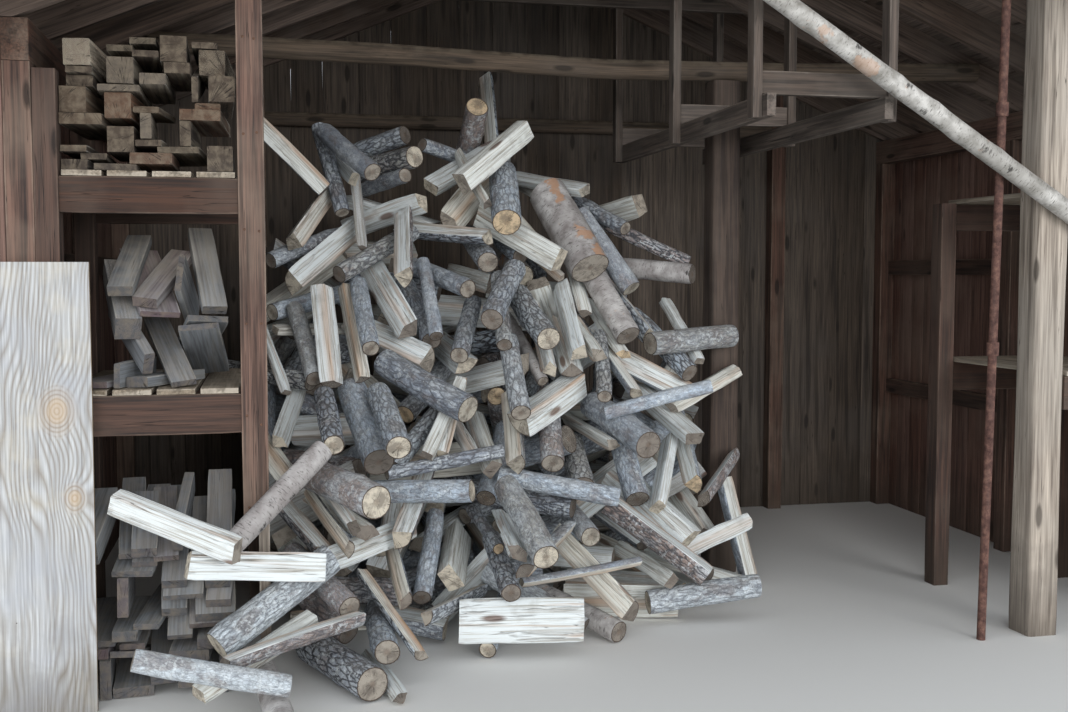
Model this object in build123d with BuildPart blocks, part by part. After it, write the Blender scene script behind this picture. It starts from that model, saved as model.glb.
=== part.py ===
from build123d import *
import math
import os

import numpy as np

os.makedirs("parts", exist_ok=True)

# Log store: an open-fronted timber shed with a gable roof, racks of offcuts in its side bays,
# a hung loft, and firewood tipped in a heap. Millimetres. X runs along the open front, +Y goes
# from the front to the back, +Z is up, and the ground is Z = 0.

# Building
shed_width = 4720            # over the outer faces of the side walls
shed_depth = 2816            # front face of the front posts to outer face of the back wall
front_overhang = 500         # roof beyond the front posts
back_overhang = 303          # roof beyond the back wall
eave_overhang = 300          # rafter tails beyond the side walls, measured level
plate_top = 2290             # top of the wall plates over the ground
roof_slope = 5 / 12          # rise over run
seat_width = 37              # level seat of each rafter on its wall plate

# Timber sizes
wall_board = 22
two_by = 38                  # thickness of all sawn framing
narrow_stock = 89            # width of a 2x4
wide_stock = 140             # width of a 2x6
post_size = 89
deck_board = 22
fascia_board = 22
fascia_depth = 165

# Frame spacing
rafter_pairs = 7
side_bay = 803.5             # outer face of a side wall to the middle of the bay post beside it
rough_post_width = 142       # the right-hand front post is a rough hewn one
ridge_depth = 184
seat_gap = 0.3               # what rests on a curved or tilted face stands this far off it
ridge_drop = 20              # room left under the ridge board where it passes the back wall

# Places that follow from them
front_y = (front_overhang - back_overhang - shed_depth) / 2
wall_back_y = front_y + shed_depth
wall_inner_y = wall_back_y - wall_board
roof_front_y = front_y - front_overhang
roof_back_y = wall_back_y + back_overhang
half_width = shed_width / 2
bay_post_offset = half_width - side_bay
post_outer_x = half_width - wall_board
post_inner_x = post_outer_x - post_size
tail_x = half_width + eave_overhang
rafter_rise = wide_stock * math.hypot(1, roof_slope)      # plumb depth of a rafter
deck_rise = deck_board * math.hypot(1, roof_slope)
apex_under = plate_top + roof_slope * (post_outer_x - seat_width)
apex_deck = apex_under + rafter_rise
apex_top = apex_deck + deck_rise


def under_rafter(x):
    """Height of the rafters' lower edge over the ground at a distance x from the ridge line."""
    return apex_under - roof_slope * abs(x)


def block(x0, x1, y0, y1, z0, z1):
    """Add a square-sawn piece between two opposite corners to the piece being built."""
    with Locations(((x0 + x1) / 2, (y0 + y1) / 2, (z0 + z1) / 2)):
        Box(abs(x1 - x0), abs(y1 - y0), abs(z1 - z0))


def plate_facing_front(outline, y0, thickness):
    """Add a flat piece from its outline in X and Z, its front face at y0."""
    with BuildSketch(Plane.XZ.offset(-y0)) as face:
        with BuildLine():
            Polyline(*outline, close=True)
        make_face()
    extrude(face.sketch, amount=-thickness)


def pole(points, radii, ends=None):
    """Add a round pole that runs through the points, with a radius at each.

    Its ends are cut square to its run, or else square to the direction given as ends.
    """
    middle = Vector(*ends) if ends else Vector(*points[-1]) - Vector(*points[0])
    for (start, stop), (r0, r1) in zip(zip(points, points[1:]), zip(radii, radii[1:])):
        with BuildSketch(Plane(origin=start, z_dir=middle)) as near_end:
            Circle(r0)
        with BuildSketch(Plane(origin=stop, z_dir=middle)) as far_end:
            Circle(r1)
        loft([near_end.sketch, far_end.sketch])


def finish(piece, name):
    """Label a finished piece and write it to its own file."""
    piece.part.label = name
    export_step(piece.part, "parts/" + name + ".step")


# Posts
with BuildPart() as corner_posts:
    for side in (-1, 1):
        block(side * post_inner_x, side * post_outer_x, front_y, front_y + post_size, 0,
              plate_top - wide_stock)
        block(side * post_inner_x, side * post_outer_x, wall_inner_y - post_size, wall_inner_y,
              0, plate_top - wide_stock)
finish(corner_posts, "corner_posts")

rafter_step = (wall_inner_y - two_by - front_y) / (rafter_pairs - 1)
rafter_faces = [front_y + i * rafter_step for i in range(rafter_pairs)]


def cut_post(x0, x1, y0, y1):
    """Add a post whose top is cut to the slope of the rafter that it carries."""
    outline = [(x0, 0), (x1, 0), (x1, under_rafter(x1)), (x0, under_rafter(x0))]
    plate_facing_front(outline, y0, y1 - y0)


bay_inner_x = bay_post_offset - post_size / 2
bay_outer_x = bay_post_offset + post_size / 2
rough_outer_x = bay_outer_x
rough_inner_x = rough_outer_x - rough_post_width
facing_foot = 600            # the left bay post is a stud with a facing board that stops here
stud_back_y = front_y + two_by + narrow_stock
with BuildPart() as bay_post_left:
    plate_facing_front([(-bay_outer_x, facing_foot), (-bay_inner_x, facing_foot),
                        (-bay_inner_x, under_rafter(bay_inner_x)),
                        (-bay_outer_x, under_rafter(bay_outer_x))], front_y, two_by)
finish(bay_post_left, "bay_post_left")

with BuildPart() as bay_stud_left:
    cut_post(-bay_inner_x - two_by, -bay_inner_x, front_y + two_by, stud_back_y)
finish(bay_stud_left, "bay_stud_left")

with BuildPart() as bay_post_right:
    cut_post(rough_inner_x, rough_outer_x, front_y, front_y + rough_post_width)
finish(bay_post_right, "bay_post_right")

with BuildPart() as back_posts:
    for side in (-1, 1):
        cut_post(side * bay_outer_x, side * bay_inner_x, wall_inner_y - post_size, wall_inner_y)
finish(back_posts, "back_posts")

with BuildPart() as side_posts:
    side_post_y = rafter_faces[3] + two_by / 2
    for side in (-1, 1):
        block(side * post_inner_x, side * post_outer_x, side_post_y - post_size / 2,
              side_post_y + post_size / 2, 0, plate_top - wide_stock)
finish(side_posts, "side_posts")

with BuildPart() as wall_plates:
    for side in (-1, 1):
        block(side * post_inner_x, side * post_outer_x, front_y, wall_inner_y,
              plate_top - wide_stock, plate_top)
finish(wall_plates, "wall_plates")

# Girts between the posts of the side walls, and a round one along the back wall
girt_heights = (760, 1500)
with BuildPart() as side_girts:
    for side in (-1, 1):
        for z in girt_heights:
            for y0, y1 in ((front_y + post_size, side_post_y - post_size / 2),
                           (side_post_y + post_size / 2, wall_inner_y - post_size)):
                block(side * post_outer_x, side * (post_outer_x - two_by), y0, y1,
                      z - narrow_stock / 2, z + narrow_stock / 2)
finish(side_girts, "side_girts")

girt_radius = 41
girt_drop = 247.75           # down from the back posts' inner top corners to the girt's crown
girt_height = under_rafter(bay_inner_x) - girt_drop - girt_radius
with BuildPart() as back_girt:
    girt_y = wall_inner_y - girt_radius
    pole([(-bay_inner_x, girt_y, girt_height), (bay_inner_x, girt_y, girt_height)],
         [girt_radius, girt_radius])
finish(back_girt, "back_girt")

# Walls: boards on the outside of the frame
wall_top = under_rafter(half_width) - 3
for side, name in ((-1, "left_wall"), (1, "right_wall")):
    with BuildPart() as side_wall:
        block(side * post_outer_x, side * half_width, front_y, wall_back_y - wall_board,
              0, wall_top)
    finish(side_wall, name)

slot_clearance = 2
with BuildPart() as back_wall:
    eave_z = under_rafter(half_width) + rafter_rise - slot_clearance
    peak_z = apex_deck - slot_clearance
    plate_facing_front([(-half_width, 0), (half_width, 0), (half_width, eave_z), (0, peak_z),
                        (-half_width, eave_z)], wall_inner_y, wall_board)
    with Locations((0, wall_back_y - wall_board / 2, apex_deck - ridge_depth / 2)):
        Box(two_by + 2 * slot_clearance, wall_board, ridge_depth + 2 * ridge_drop,
            mode=Mode.SUBTRACT)
finish(back_wall, "back_wall")

# Roof: a ridge board, pairs of rafters notched over the plates, and a pair at each end of the
# overhang that hangs from the deck
ridge_top = apex_deck - roof_slope * two_by / 2
with BuildPart() as ridge_board:
    block(-two_by / 2, two_by / 2, roof_front_y + fascia_board, roof_back_y - fascia_board,
          ridge_top - ridge_depth, ridge_top)
finish(ridge_board, "ridge_board")


def rafter_outline(side, notched):
    """Outline of one rafter from the ridge board to its tail, with a notch at the wall plate."""
    top = [(two_by / 2, under_rafter(two_by / 2) + rafter_rise),
           (two_by / 2, under_rafter(two_by / 2))]
    notch = [(post_outer_x - seat_width, plate_top), (post_outer_x, plate_top),
             (post_outer_x, under_rafter(post_outer_x))]
    tail = [(tail_x, under_rafter(tail_x)), (tail_x, under_rafter(tail_x) + rafter_rise)]
    points = top + notch + tail if notched else top + tail
    return [(side * x, z) for x, z in points]


fly_rafters = (roof_front_y + fascia_board, roof_back_y - fascia_board - two_by)
for side, name in ((-1, "rafters_left"), (1, "rafters_right")):
    with BuildPart() as rafters:
        for y in rafter_faces:
            plate_facing_front(rafter_outline(side, True), y, two_by)
        for y in fly_rafters:
            plate_facing_front(rafter_outline(side, False), y, two_by)
    finish(rafters, name)

for side, name in ((-1, "deck_left"), (1, "deck_right")):
    with BuildPart() as deck:
        outline = [(0, apex_deck), (0, apex_top),
                   (side * (tail_x + fascia_board), apex_top - roof_slope * (tail_x + fascia_board)),
                   (side * (tail_x + fascia_board), apex_deck - roof_slope * (tail_x + fascia_board))]
        plate_facing_front(outline, roof_front_y, roof_back_y - roof_front_y)
    finish(deck, name)

with BuildPart() as fascia_boards:
    for side in (-1, 1):
        top = apex_deck - roof_slope * (tail_x + fascia_board)
        block(side * tail_x, side * (tail_x + fascia_board), roof_front_y, roof_back_y,
              top - fascia_depth, top)
finish(fascia_boards, "fascia_boards")

peak_joint = 1               # half the open joint between the two barge boards of a gable
with BuildPart() as barge_boards:
    for y in (roof_front_y, roof_back_y - fascia_board):
        for side in (-1, 1):
            outline = [(side * x, apex_deck - roof_slope * x - drop)
                       for x, drop in ((peak_joint, fascia_depth), (peak_joint, 0),
                                       (tail_x, 0), (tail_x, fascia_depth))]
            plate_facing_front(outline, y, fascia_board)
finish(barge_boards, "barge_boards")

# A crooked pole ties the roof across, nailed to the front of the middle pair of rafters
tie_radius = 50
tie_end_gap = 360            # from each end to the outer face of the side wall
tie_reach = half_width - tie_end_gap
tie_sag = ((-tie_reach, 2470), (-1000, 2455), (100, 2424), (1000, 2440), (tie_reach, 2475))
tie_y = rafter_faces[3] - tie_radius - seat_gap
with BuildPart() as tie_pole:
    pole([(x, tie_y, z) for x, z in tie_sag], [tie_radius] * len(tie_sag))
finish(tie_pole, "tie_pole")

# Hung loft: joists behind three pairs of rafters, hangers behind the joists, bearers nailed to
# the hangers, and rails over the bearers
loft_faces = rafter_faces[:5:2]
joist_reach = 1100
joist_rise = 49.58333        # over the rafters' lower edges at the joists' ends
joist_z = under_rafter(joist_reach) + joist_rise
hanger_depth = 64
hanger_foot = 2050
loft_left = 285
loft_right = 880
bearer_run = 40              # bearers beyond the first and last hangers
with BuildPart() as loft_joists:
    for y0 in [face + two_by for face in loft_faces]:
        block(-joist_reach, joist_reach, y0, y0 + two_by, joist_z, joist_z + narrow_stock)
finish(loft_joists, "loft_joists")

hanger_faces = [face + 2 * two_by for face in loft_faces]
with BuildPart() as loft_hangers:
    for y0 in hanger_faces:
        for x0 in (loft_left, loft_right - two_by):
            block(x0, x0 + two_by, y0, y0 + hanger_depth, hanger_foot, joist_z + narrow_stock)
finish(loft_hangers, "loft_hangers")

bearer_front = hanger_faces[0] - bearer_run
bearer_back = hanger_faces[-1] + hanger_depth + bearer_run
with BuildPart() as loft_bearers:
    for x0 in (loft_left + two_by, loft_right - 2 * two_by):
        block(x0, x0 + two_by, bearer_front, bearer_back, hanger_foot,
              hanger_foot + narrow_stock)
finish(loft_bearers, "loft_bearers")

with BuildPart() as loft_rails:
    for y0 in hanger_faces:
        y0 += (hanger_depth - two_by) / 2
        block(loft_left + two_by, loft_right - two_by, y0, y0 + two_by,
              hanger_foot + narrow_stock, hanger_foot + 2 * narrow_stock)
finish(loft_rails, "loft_rails")

# Post inside, under the tie pole
inner_post_width = 150
inner_post_x = 650


def tie_height(x):
    """Height of the tie pole's middle at a place along it."""
    for (x0, z0), (x1, z1) in zip(tie_sag, tie_sag[1:]):
        if x0 <= x <= x1:
            return z0 + (z1 - z0) * (x - x0) / (x1 - x0)


with BuildPart() as inner_post:
    top = tie_height(inner_post_x - inner_post_width / 2) - tie_radius - seat_gap
    block(inner_post_x - inner_post_width / 2, inner_post_x + inner_post_width / 2,
          tie_y - inner_post_width / 2, tie_y + inner_post_width / 2, 0, top)
finish(inner_post, "inner_post")

# Iron pipe that props the front rafter, screwed together from lengths with couplings
pipe_radius = 17
pipe_foot_x = 1262
pipe_lean = 43 / 2700
pipe_y = rafter_faces[0] + two_by / 2
coupling_radius = 24
coupling_length = 52
coupling_heights = (1140, 2073)
pipe_top = ((under_rafter(pipe_foot_x + pipe_radius) - seat_gap)
            / (1 + roof_slope * pipe_lean))


def pipe_x(z):
    """Where the leaning pipe's middle stands at a height over the ground."""
    return pipe_foot_x + pipe_lean * z


with BuildPart() as pipe_prop:
    pole([(pipe_x(0), pipe_y, 0), (pipe_x(pipe_top), pipe_y, pipe_top)],
         [pipe_radius, pipe_radius], ends=(0, 0, 1))
    for z in coupling_heights:
        pole([(pipe_x(z), pipe_y, z), (pipe_x(z + coupling_length), pipe_y, z + coupling_length)],
             [coupling_radius, coupling_radius], ends=(0, 0, 1))
finish(pipe_prop, "pipe_prop")

# Birch pole nailed across the front as a brace
birch_radius = 40
birch_y = front_y - birch_radius - seat_gap
birch_low = (1640, 1652)
birch_high = (-620, 3056)
with BuildPart() as birch_brace:
    pole([(birch_low[0], birch_y, birch_low[1]), (birch_high[0], birch_y, birch_high[1])],
         [birch_radius, birch_radius])
finish(birch_brace, "birch_brace")

# Plywood sheet stood against the front left corner
sheet_inset = 280            # its right edge from the outer face of the left wall
sheet_right = sheet_inset - half_width
sheet_width = 600
sheet_height = 1500
sheet_thickness = 18
sheet_lean = 47              # its foot stands this much further out than its top
with BuildPart() as plywood_sheet:
    top_back = front_y - seat_gap
    with BuildSketch(Plane.YZ.offset(sheet_right - sheet_width)):
        with BuildLine():
            Polyline((top_back - sheet_lean, 0), (top_back, sheet_height),
                     (top_back - sheet_thickness, sheet_height),
                     (top_back - sheet_lean - sheet_thickness, 0), close=True)
        make_face()
    extrude(amount=sheet_width)
finish(plywood_sheet, "plywood_sheet")

# Racks in the side bays
rack_post_width = 76
rack_post_top = 2130
rack_depth = 900
shelf_tops = (1053, 1785)
rail_depths = (138, 123)
slat = 19
slat_width = 130
slats_per_shelf = 4
rack_outer_x = post_inner_x
rail_outer_x = rack_outer_x - rack_post_width
rail_inner_x = bay_outer_x
rack_back_y = front_y + rack_depth
with BuildPart() as rack_posts:
    for side in (-1, 1):
        block(side * rack_outer_x, side * rail_outer_x, front_y, front_y + post_size, 0,
              rack_post_top)
        for x0 in (rail_outer_x, rail_inner_x - rack_post_width):
            block(side * x0, side * (x0 + rack_post_width), rack_back_y - post_size, rack_back_y,
                  0, shelf_tops[-1])
finish(rack_posts, "rack_posts")

with BuildPart() as rack_rails:
    for side in (-1, 1):
        for top, depth in zip(shelf_tops, rail_depths):
            for y0 in (front_y + 10, rack_back_y - two_by):
                block(side * rail_inner_x, side * rail_outer_x, y0, y0 + two_by, top - depth, top)
finish(rack_rails, "rack_rails")

slat_step = (rail_outer_x - rail_inner_x) / slats_per_shelf
with BuildPart() as rack_slats:
    for side in (-1, 1):
        for top in shelf_tops:
            for i in range(slats_per_shelf):
                x0 = rail_inner_x + (i + 0.5) * slat_step - slat_width / 2
                block(side * x0, side * (x0 + slat_width), front_y + 10, rack_back_y, top,
                      top + slat)
finish(rack_slats, "rack_slats")

# Firewood. A log is a straight prism, and so is a board or a post that the logs lean on. Each log is
# seated on its own against what already lies there: it moves along a line until only the seat gap is
# left between it and the nearest face, edge or corner.
log_length = 490
down = np.array([0, 0, -1.0])
up = -down
ground_room = 0.02           # a log slides this much clear of what it lies on
draw = np.random.default_rng(11)


class Log:
    """A straight log: its cross-section, its length, its middle and the way that it points."""

    def __init__(self, kind, section, length, middle, along):
        self.kind = kind
        self.section = section
        self.length = length
        self.middle = np.array(middle, float)
        self.along = np.array(along) / np.linalg.norm(along)
        upright = abs(self.along[2]) > 0.99
        across = np.cross((1, 0, 0) if upright else (0, 0, 1), self.along)
        self.across = across / np.linalg.norm(across)
        self.over = np.cross(self.along, self.across)
        ring = section[:, :1] * self.across + section[:, 1:] * self.over
        half = self.along * length / 2
        self.corners = np.vstack([ring - half, ring + half])
        edges = np.roll(ring, -1, axis=0) - ring
        edges /= np.linalg.norm(edges, axis=1)[:, None]
        self.edges = np.vstack([edges, self.along])
        self.normals = np.vstack([np.cross(edges, self.along), self.along])

    def height(self):
        """Height of its middle over the ground."""
        return self.middle[2]

    def ends(self):
        """The middles of the two cut faces."""
        half = self.along * self.length / 2
        return self.middle - half, self.middle + half


def fixed_piece(x0, x1, y0, y1, z0, z1):
    """A square-sawn piece, or the ground, for the logs to rest on."""
    section = np.array([(x0, z1), (x0, z0), (x1, z0), (x1, z1)]) - ((x0 + x1) / 2, (z0 + z1) / 2)
    section[:, 0] *= -1
    return Log("fixed", section, y1 - y0, ((x0 + x1) / 2, (y0 + y1) / 2, (z0 + z1) / 2), (0, 1, 0))


def turned(points, angle):
    """The outline about its own middle, turned by an angle in radians."""
    points = np.array(points)
    points = points - (points.max(axis=0) + points.min(axis=0)) / 2
    cos, sin = math.cos(angle), math.sin(angle)
    return points @ np.array([[cos, sin], [-sin, cos]])


def round_section(thickness):
    """A log in the round, as an eight-sided outline."""
    angles = np.arange(8) * math.tau / 8
    ring = thickness / 2 * np.column_stack([np.cos(angles), np.sin(angles)])
    return turned(ring, draw.uniform(0, math.tau))


def split_section(thickness):
    """A split log: a quarter, a half or a slab of a round, with the bark on its curved side."""
    form = draw.choice(["quarter", "half", "slab"], p=[0.45, 0.3, 0.25])
    if form == "slab":
        outline = [(0, 0), (1.05, 0.06), (0.9, 0.68), (0.08, 0.6)]
    else:
        spread, sides, radius = (math.pi / 2, 2, 0.95) if form == "quarter" else (0.75 * math.pi, 3, 0.8)
        bark = [radius * np.array((math.cos(a), math.sin(a))) for a in np.linspace(0, spread, sides + 1)]
        outline = [(0, 0)] + bark
    return turned(np.array(outline) * thickness, draw.uniform(0, math.tau))


def meeting(mover, other, way, gap):
    """Stretch of the way, as start and end, where the mover would be nearer than the gap, or None.

    Both are convex, so the stretch is the part that the separating axes have in common.
    """
    crossed = np.cross(mover.edges[:, None], other.edges[None]).reshape(-1, 3)
    size = np.linalg.norm(crossed, axis=1)
    real = size > 1e-3
    axes = np.vstack([mover.normals, other.normals, crossed[real] / size[real][:, None]])
    mine = (mover.corners + (mover.middle - other.middle)) @ axes.T
    theirs = other.corners @ axes.T
    before = theirs.min(axis=0) - gap - mine.max(axis=0)
    after = theirs.max(axis=0) + gap - mine.min(axis=0)
    speed = axes @ way
    still = np.abs(speed) < 1e-9
    if np.any(still & ((before > 0) | (after < 0))):
        return None
    first = (np.where(speed > 0, before, after)[~still] / speed[~still]).max()
    last = (np.where(speed > 0, after, before)[~still] / speed[~still]).min()
    return (first, last) if first < last else None


class Pile:
    """Logs and fixed pieces that lie where they are, for the next log to be seated on."""

    def __init__(self, fixed):
        self.logs = []
        self.low_corners = np.empty((0, 3))
        self.high_corners = np.empty((0, 3))
        for piece in fixed:
            self.add(piece)

    def add(self, log):
        corners = log.middle + log.corners
        self.logs.append(log)
        self.low_corners = np.vstack([self.low_corners, corners.min(axis=0)])
        self.high_corners = np.vstack([self.high_corners, corners.max(axis=0)])

    def neighbours(self, mover, way):
        """Logs whose upright box the mover's box meets on the way, with where it enters and leaves."""
        corners = mover.middle + mover.corners
        with np.errstate(divide="ignore", invalid="ignore"):
            before = (self.low_corners - seat_gap - corners.max(axis=0)) / way
            after = (self.high_corners + seat_gap - corners.min(axis=0)) / way
        enters = np.minimum(before, after).max(axis=1)
        leaves = np.maximum(before, after).min(axis=1)
        order = np.argsort(enters)
        return [(self.logs[i], enters[i], leaves[i]) for i in order if enters[i] < leaves[i]]

    def meetings(self, mover, way, reach, gap=seat_gap):
        """Every stretch of the way, up to the reach on either side, where something is met."""
        found = [meeting(mover, log, way, gap) for log, enters, leaves in self.neighbours(mover, way)
                 if enters <= reach and leaves >= -reach]
        return sorted(stretch for stretch in found if stretch)

    def room(self, mover, way, reach):
        """How far the mover can go along the way, up to the reach, before it meets something."""
        free = reach
        for log, enters, leaves in self.neighbours(mover, way):
            if enters > free:
                break
            stretch = meeting(mover, log, way, seat_gap) if leaves > 0 else None
            if stretch and stretch[1] > 0:
                free = min(free, stretch[0])
        return max(0.0, free)

    def drop(self, mover, reach=3000):
        """Lower the mover until it rests on something, and say by how much."""
        fall = self.room(mover, down, reach)
        mover.middle = mover.middle + down * fall
        return fall

    def slide(self, mover, way, reach):
        """Shift the mover level until it touches something, if that is within the reach."""
        way = np.array([way[0], way[1], 0]) / math.hypot(way[0], way[1])
        mover.middle = mover.middle + up * ground_room
        free = self.room(mover, way, reach)
        mover.middle = mover.middle + way * (free if free < reach else 0) + down * ground_room

    def push_home(self, mover, way, reach):
        """Shift the mover along the way to the nearest place that is free and touches something."""
        blocked = []
        for start, end in self.meetings(mover, way, reach):
            if blocked and start <= blocked[-1][1]:
                blocked[-1][1] = max(blocked[-1][1], end)
            else:
                blocked.append([start, end])
        places = [start - ground_room for start, end in blocked]
        places += [end + ground_room for start, end in blocked]
        places = [place for place in places if abs(place) < reach]
        if places:
            mover.middle = mover.middle + way * min(places, key=abs)

    def clear(self, mover):
        """Whether the mover cuts into nothing where it is."""
        return not any(start < 0 < end for start, end in self.meetings(mover, down, 0, seat_gap / 2))

    def lay(self, kind, section, length, place, heading):
        """Lower a log from a place over the pile, leaning the way that the pile under it does."""
        level = np.array([math.cos(heading), math.sin(heading), 0])
        stations = np.array([-0.4, -0.18, 0, 0.18, 0.4]) * length
        heights = []
        for station in stations:
            probe = Log("probe", section, length / 10, place + station * level, level)
            heights.append(-self.drop(probe))
        leans = []
        for i in range(3):
            for j in range(max(i + 1, 2), 5):
                lean = (heights[j] - heights[i]) / (stations[j] - stations[i])
                leans.append((heights[i] - lean * stations[i], lean))
        lean = math.atan(max(leans)[1])
        log = Log(kind, section, length, place, math.cos(lean) * level - math.sin(lean) * down)
        self.drop(log)
        return log


# Offcuts on the left rack: ends of sawn stock, stacked end-on at the top and the bottom and jumbled
# in the middle
offcut_sizes = ((two_by, narrow_stock), (two_by, wide_stock), (narrow_stock, narrow_stock),
                (deck_board, wide_stock), (deck_board, narrow_stock))
stack_front = front_y + 12
ground = fixed_piece(-shed_width, shed_width, -shed_width, shed_width, -post_size, 0)
shelves = [fixed_piece(-rail_outer_x, -rail_inner_x, front_y, rack_back_y, top - 10, top + slat)
           for top in shelf_tops]
rack_post_x = -rail_inner_x
rack_pile = Pile([ground] + shelves + [
    fixed_piece(-rack_outer_x, -rail_outer_x, front_y, front_y + post_size, 0, rack_post_top),
    fixed_piece(-rack_outer_x, -rail_outer_x, rack_back_y - post_size, rack_back_y, 0,
                shelf_tops[-1]),
    fixed_piece(rack_post_x, rack_post_x + rack_post_width, rack_back_y - post_size, rack_back_y, 0,
                shelf_tops[-1])])
rack_fixed = len(rack_pile.logs)


def stack_offcuts(x0, x1, y1, z0, z1, skew, patience):
    """Fill a box on the rack with offcuts, turned by up to the skew, until no more find a place."""
    misses = 0
    while misses < patience:
        misses += 1
        thick, wide = offcut_sizes[draw.integers(len(offcut_sizes))]
        roll = draw.choice([0, math.pi / 2], p=[0.8, 0.2]) + draw.uniform(-skew, skew) / 4
        section = turned([(0, 0), (wide, 0), (wide, thick), (0, thick)], roll)
        length = draw.uniform(0.45, 0.75) * (y1 - stack_front)
        y = stack_front + length * draw.uniform(0.5, 0.6)
        place = np.array([draw.uniform(x0, x1), y, z1 - wide])
        if rack_pile.clear(Log("probe", section, length, place, (0, 1, 0))):
            piece = rack_pile.lay("offcut", section, length, place,
                                  math.pi / 2 + draw.uniform(-skew, skew))
            for pushes in range(2):
                rack_pile.slide(piece, (-1, 0), 0.6 * (x1 - x0))
                rack_pile.drop(piece)
            corners = piece.middle + piece.corners
            inside = np.all(corners > (x0, stack_front, z0)) and np.all(corners < (x1, y1, z1))
            if inside and rack_pile.clear(piece):
                rack_pile.add(piece)
                misses = 0


shelf_left = -rail_outer_x
shelf_right = -rail_inner_x
top_stack_height = 530
middle_stack_height = 600
bottom_stack_height = 760
offcut_stacks = {}
for name, z0, height, skew, patience in (
        ("offcuts_bottom", 0, bottom_stack_height, 0.1, 60),
        ("offcuts_middle", shelf_tops[0] + slat, middle_stack_height, 0.6, 80),
        ("offcuts_top", shelf_tops[1] + slat, top_stack_height, 0.06, 60)):
    before = len(rack_pile.logs)
    stack_offcuts(shelf_left, shelf_right, rack_back_y - post_size - two_by, z0, z0 + height, skew,
                  patience)
    offcut_stacks[name] = rack_pile.logs[before:]

# What stands around the heap: the rack with its offcuts, and the timbers of the open bay
rail_pieces = [fixed_piece(-rail_outer_x, -rail_inner_x, y0, y0 + two_by, top - depth, top)
               for top, depth in zip(shelf_tops, rail_depths)
               for y0 in (front_y + 10, rack_back_y - two_by)]
pile = Pile(rack_pile.logs + rail_pieces + [
    fixed_piece(-bay_outer_x, -bay_inner_x, front_y, front_y + two_by, facing_foot, plate_top),
    fixed_piece(-bay_inner_x - two_by, -bay_inner_x, front_y + two_by, stud_back_y, 0, plate_top),
    fixed_piece(-bay_outer_x, -bay_inner_x, wall_inner_y - post_size, wall_inner_y, 0, plate_top),
    fixed_piece(-tie_reach, tie_reach, tie_y - tie_radius, tie_y + tie_radius,
                min(z for x, z in tie_sag) - tie_radius, under_rafter(0)),
    fixed_piece(sheet_right - sheet_width, sheet_right, front_y - 2 * sheet_lean, front_y, 0,
                sheet_height),
    fixed_piece(inner_post_x - inner_post_width / 2, inner_post_x + inner_post_width / 2,
                tie_y - inner_post_width / 2, tie_y + inner_post_width / 2, 0, plate_top),
    fixed_piece(-half_width, half_width, wall_inner_y, wall_back_y, 0, plate_top)])
fixed_count = len(pile.logs)

# Form of the heap: the line of its foot, its skyline, and how far back its crest and its rear lie
foot_line = ((-2100, -1400), (-1940, -1400), (-1600, -1500), (-1420, -1560), (-1090, -1540),
             (-790, -1330), (-430, -1200), (-75, -1080), (260, -880), (440, -760), (560, -620))
skyline = ((-1620, 700), (-1560, 1750), (-1500, 1950), (-1200, 2020), (-845, 2130), (-517, 2250),
           (-410, 2060), (-18, 1920), (257, 1850), (443, 1700), (540, 1500), (620, 1000), (680, 300))
crest_y = 150
rear_y = 800
heap_left = -1590
heap_right = 640
heap_middle = np.array([-500, -100, 0])
slide_reach = 700            # a log on the ground slides to its neighbours from this far off
home_reach = 420             # a log of the front face is pushed back at most this far
behind_face = 100            # the hidden logs start this far behind the front face
heap_top = 2550              # no layer of logs starts over this height
before_rack = 60             # the face stays this far in front of the rack
empty_tries = 60             # tries without a place that end a layer


def skyline_height(x):
    return np.interp(x, *zip(*skyline))


def face_y(x, z):
    """How far back the front face of the heap is, at a place across it and a height."""
    foot_y = np.interp(x, *zip(*foot_line))
    face = foot_y + (crest_y - foot_y) * max(0, z) / skyline_height(x)
    return min(face, front_y - before_rack) if x < heap_left else face


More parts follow.
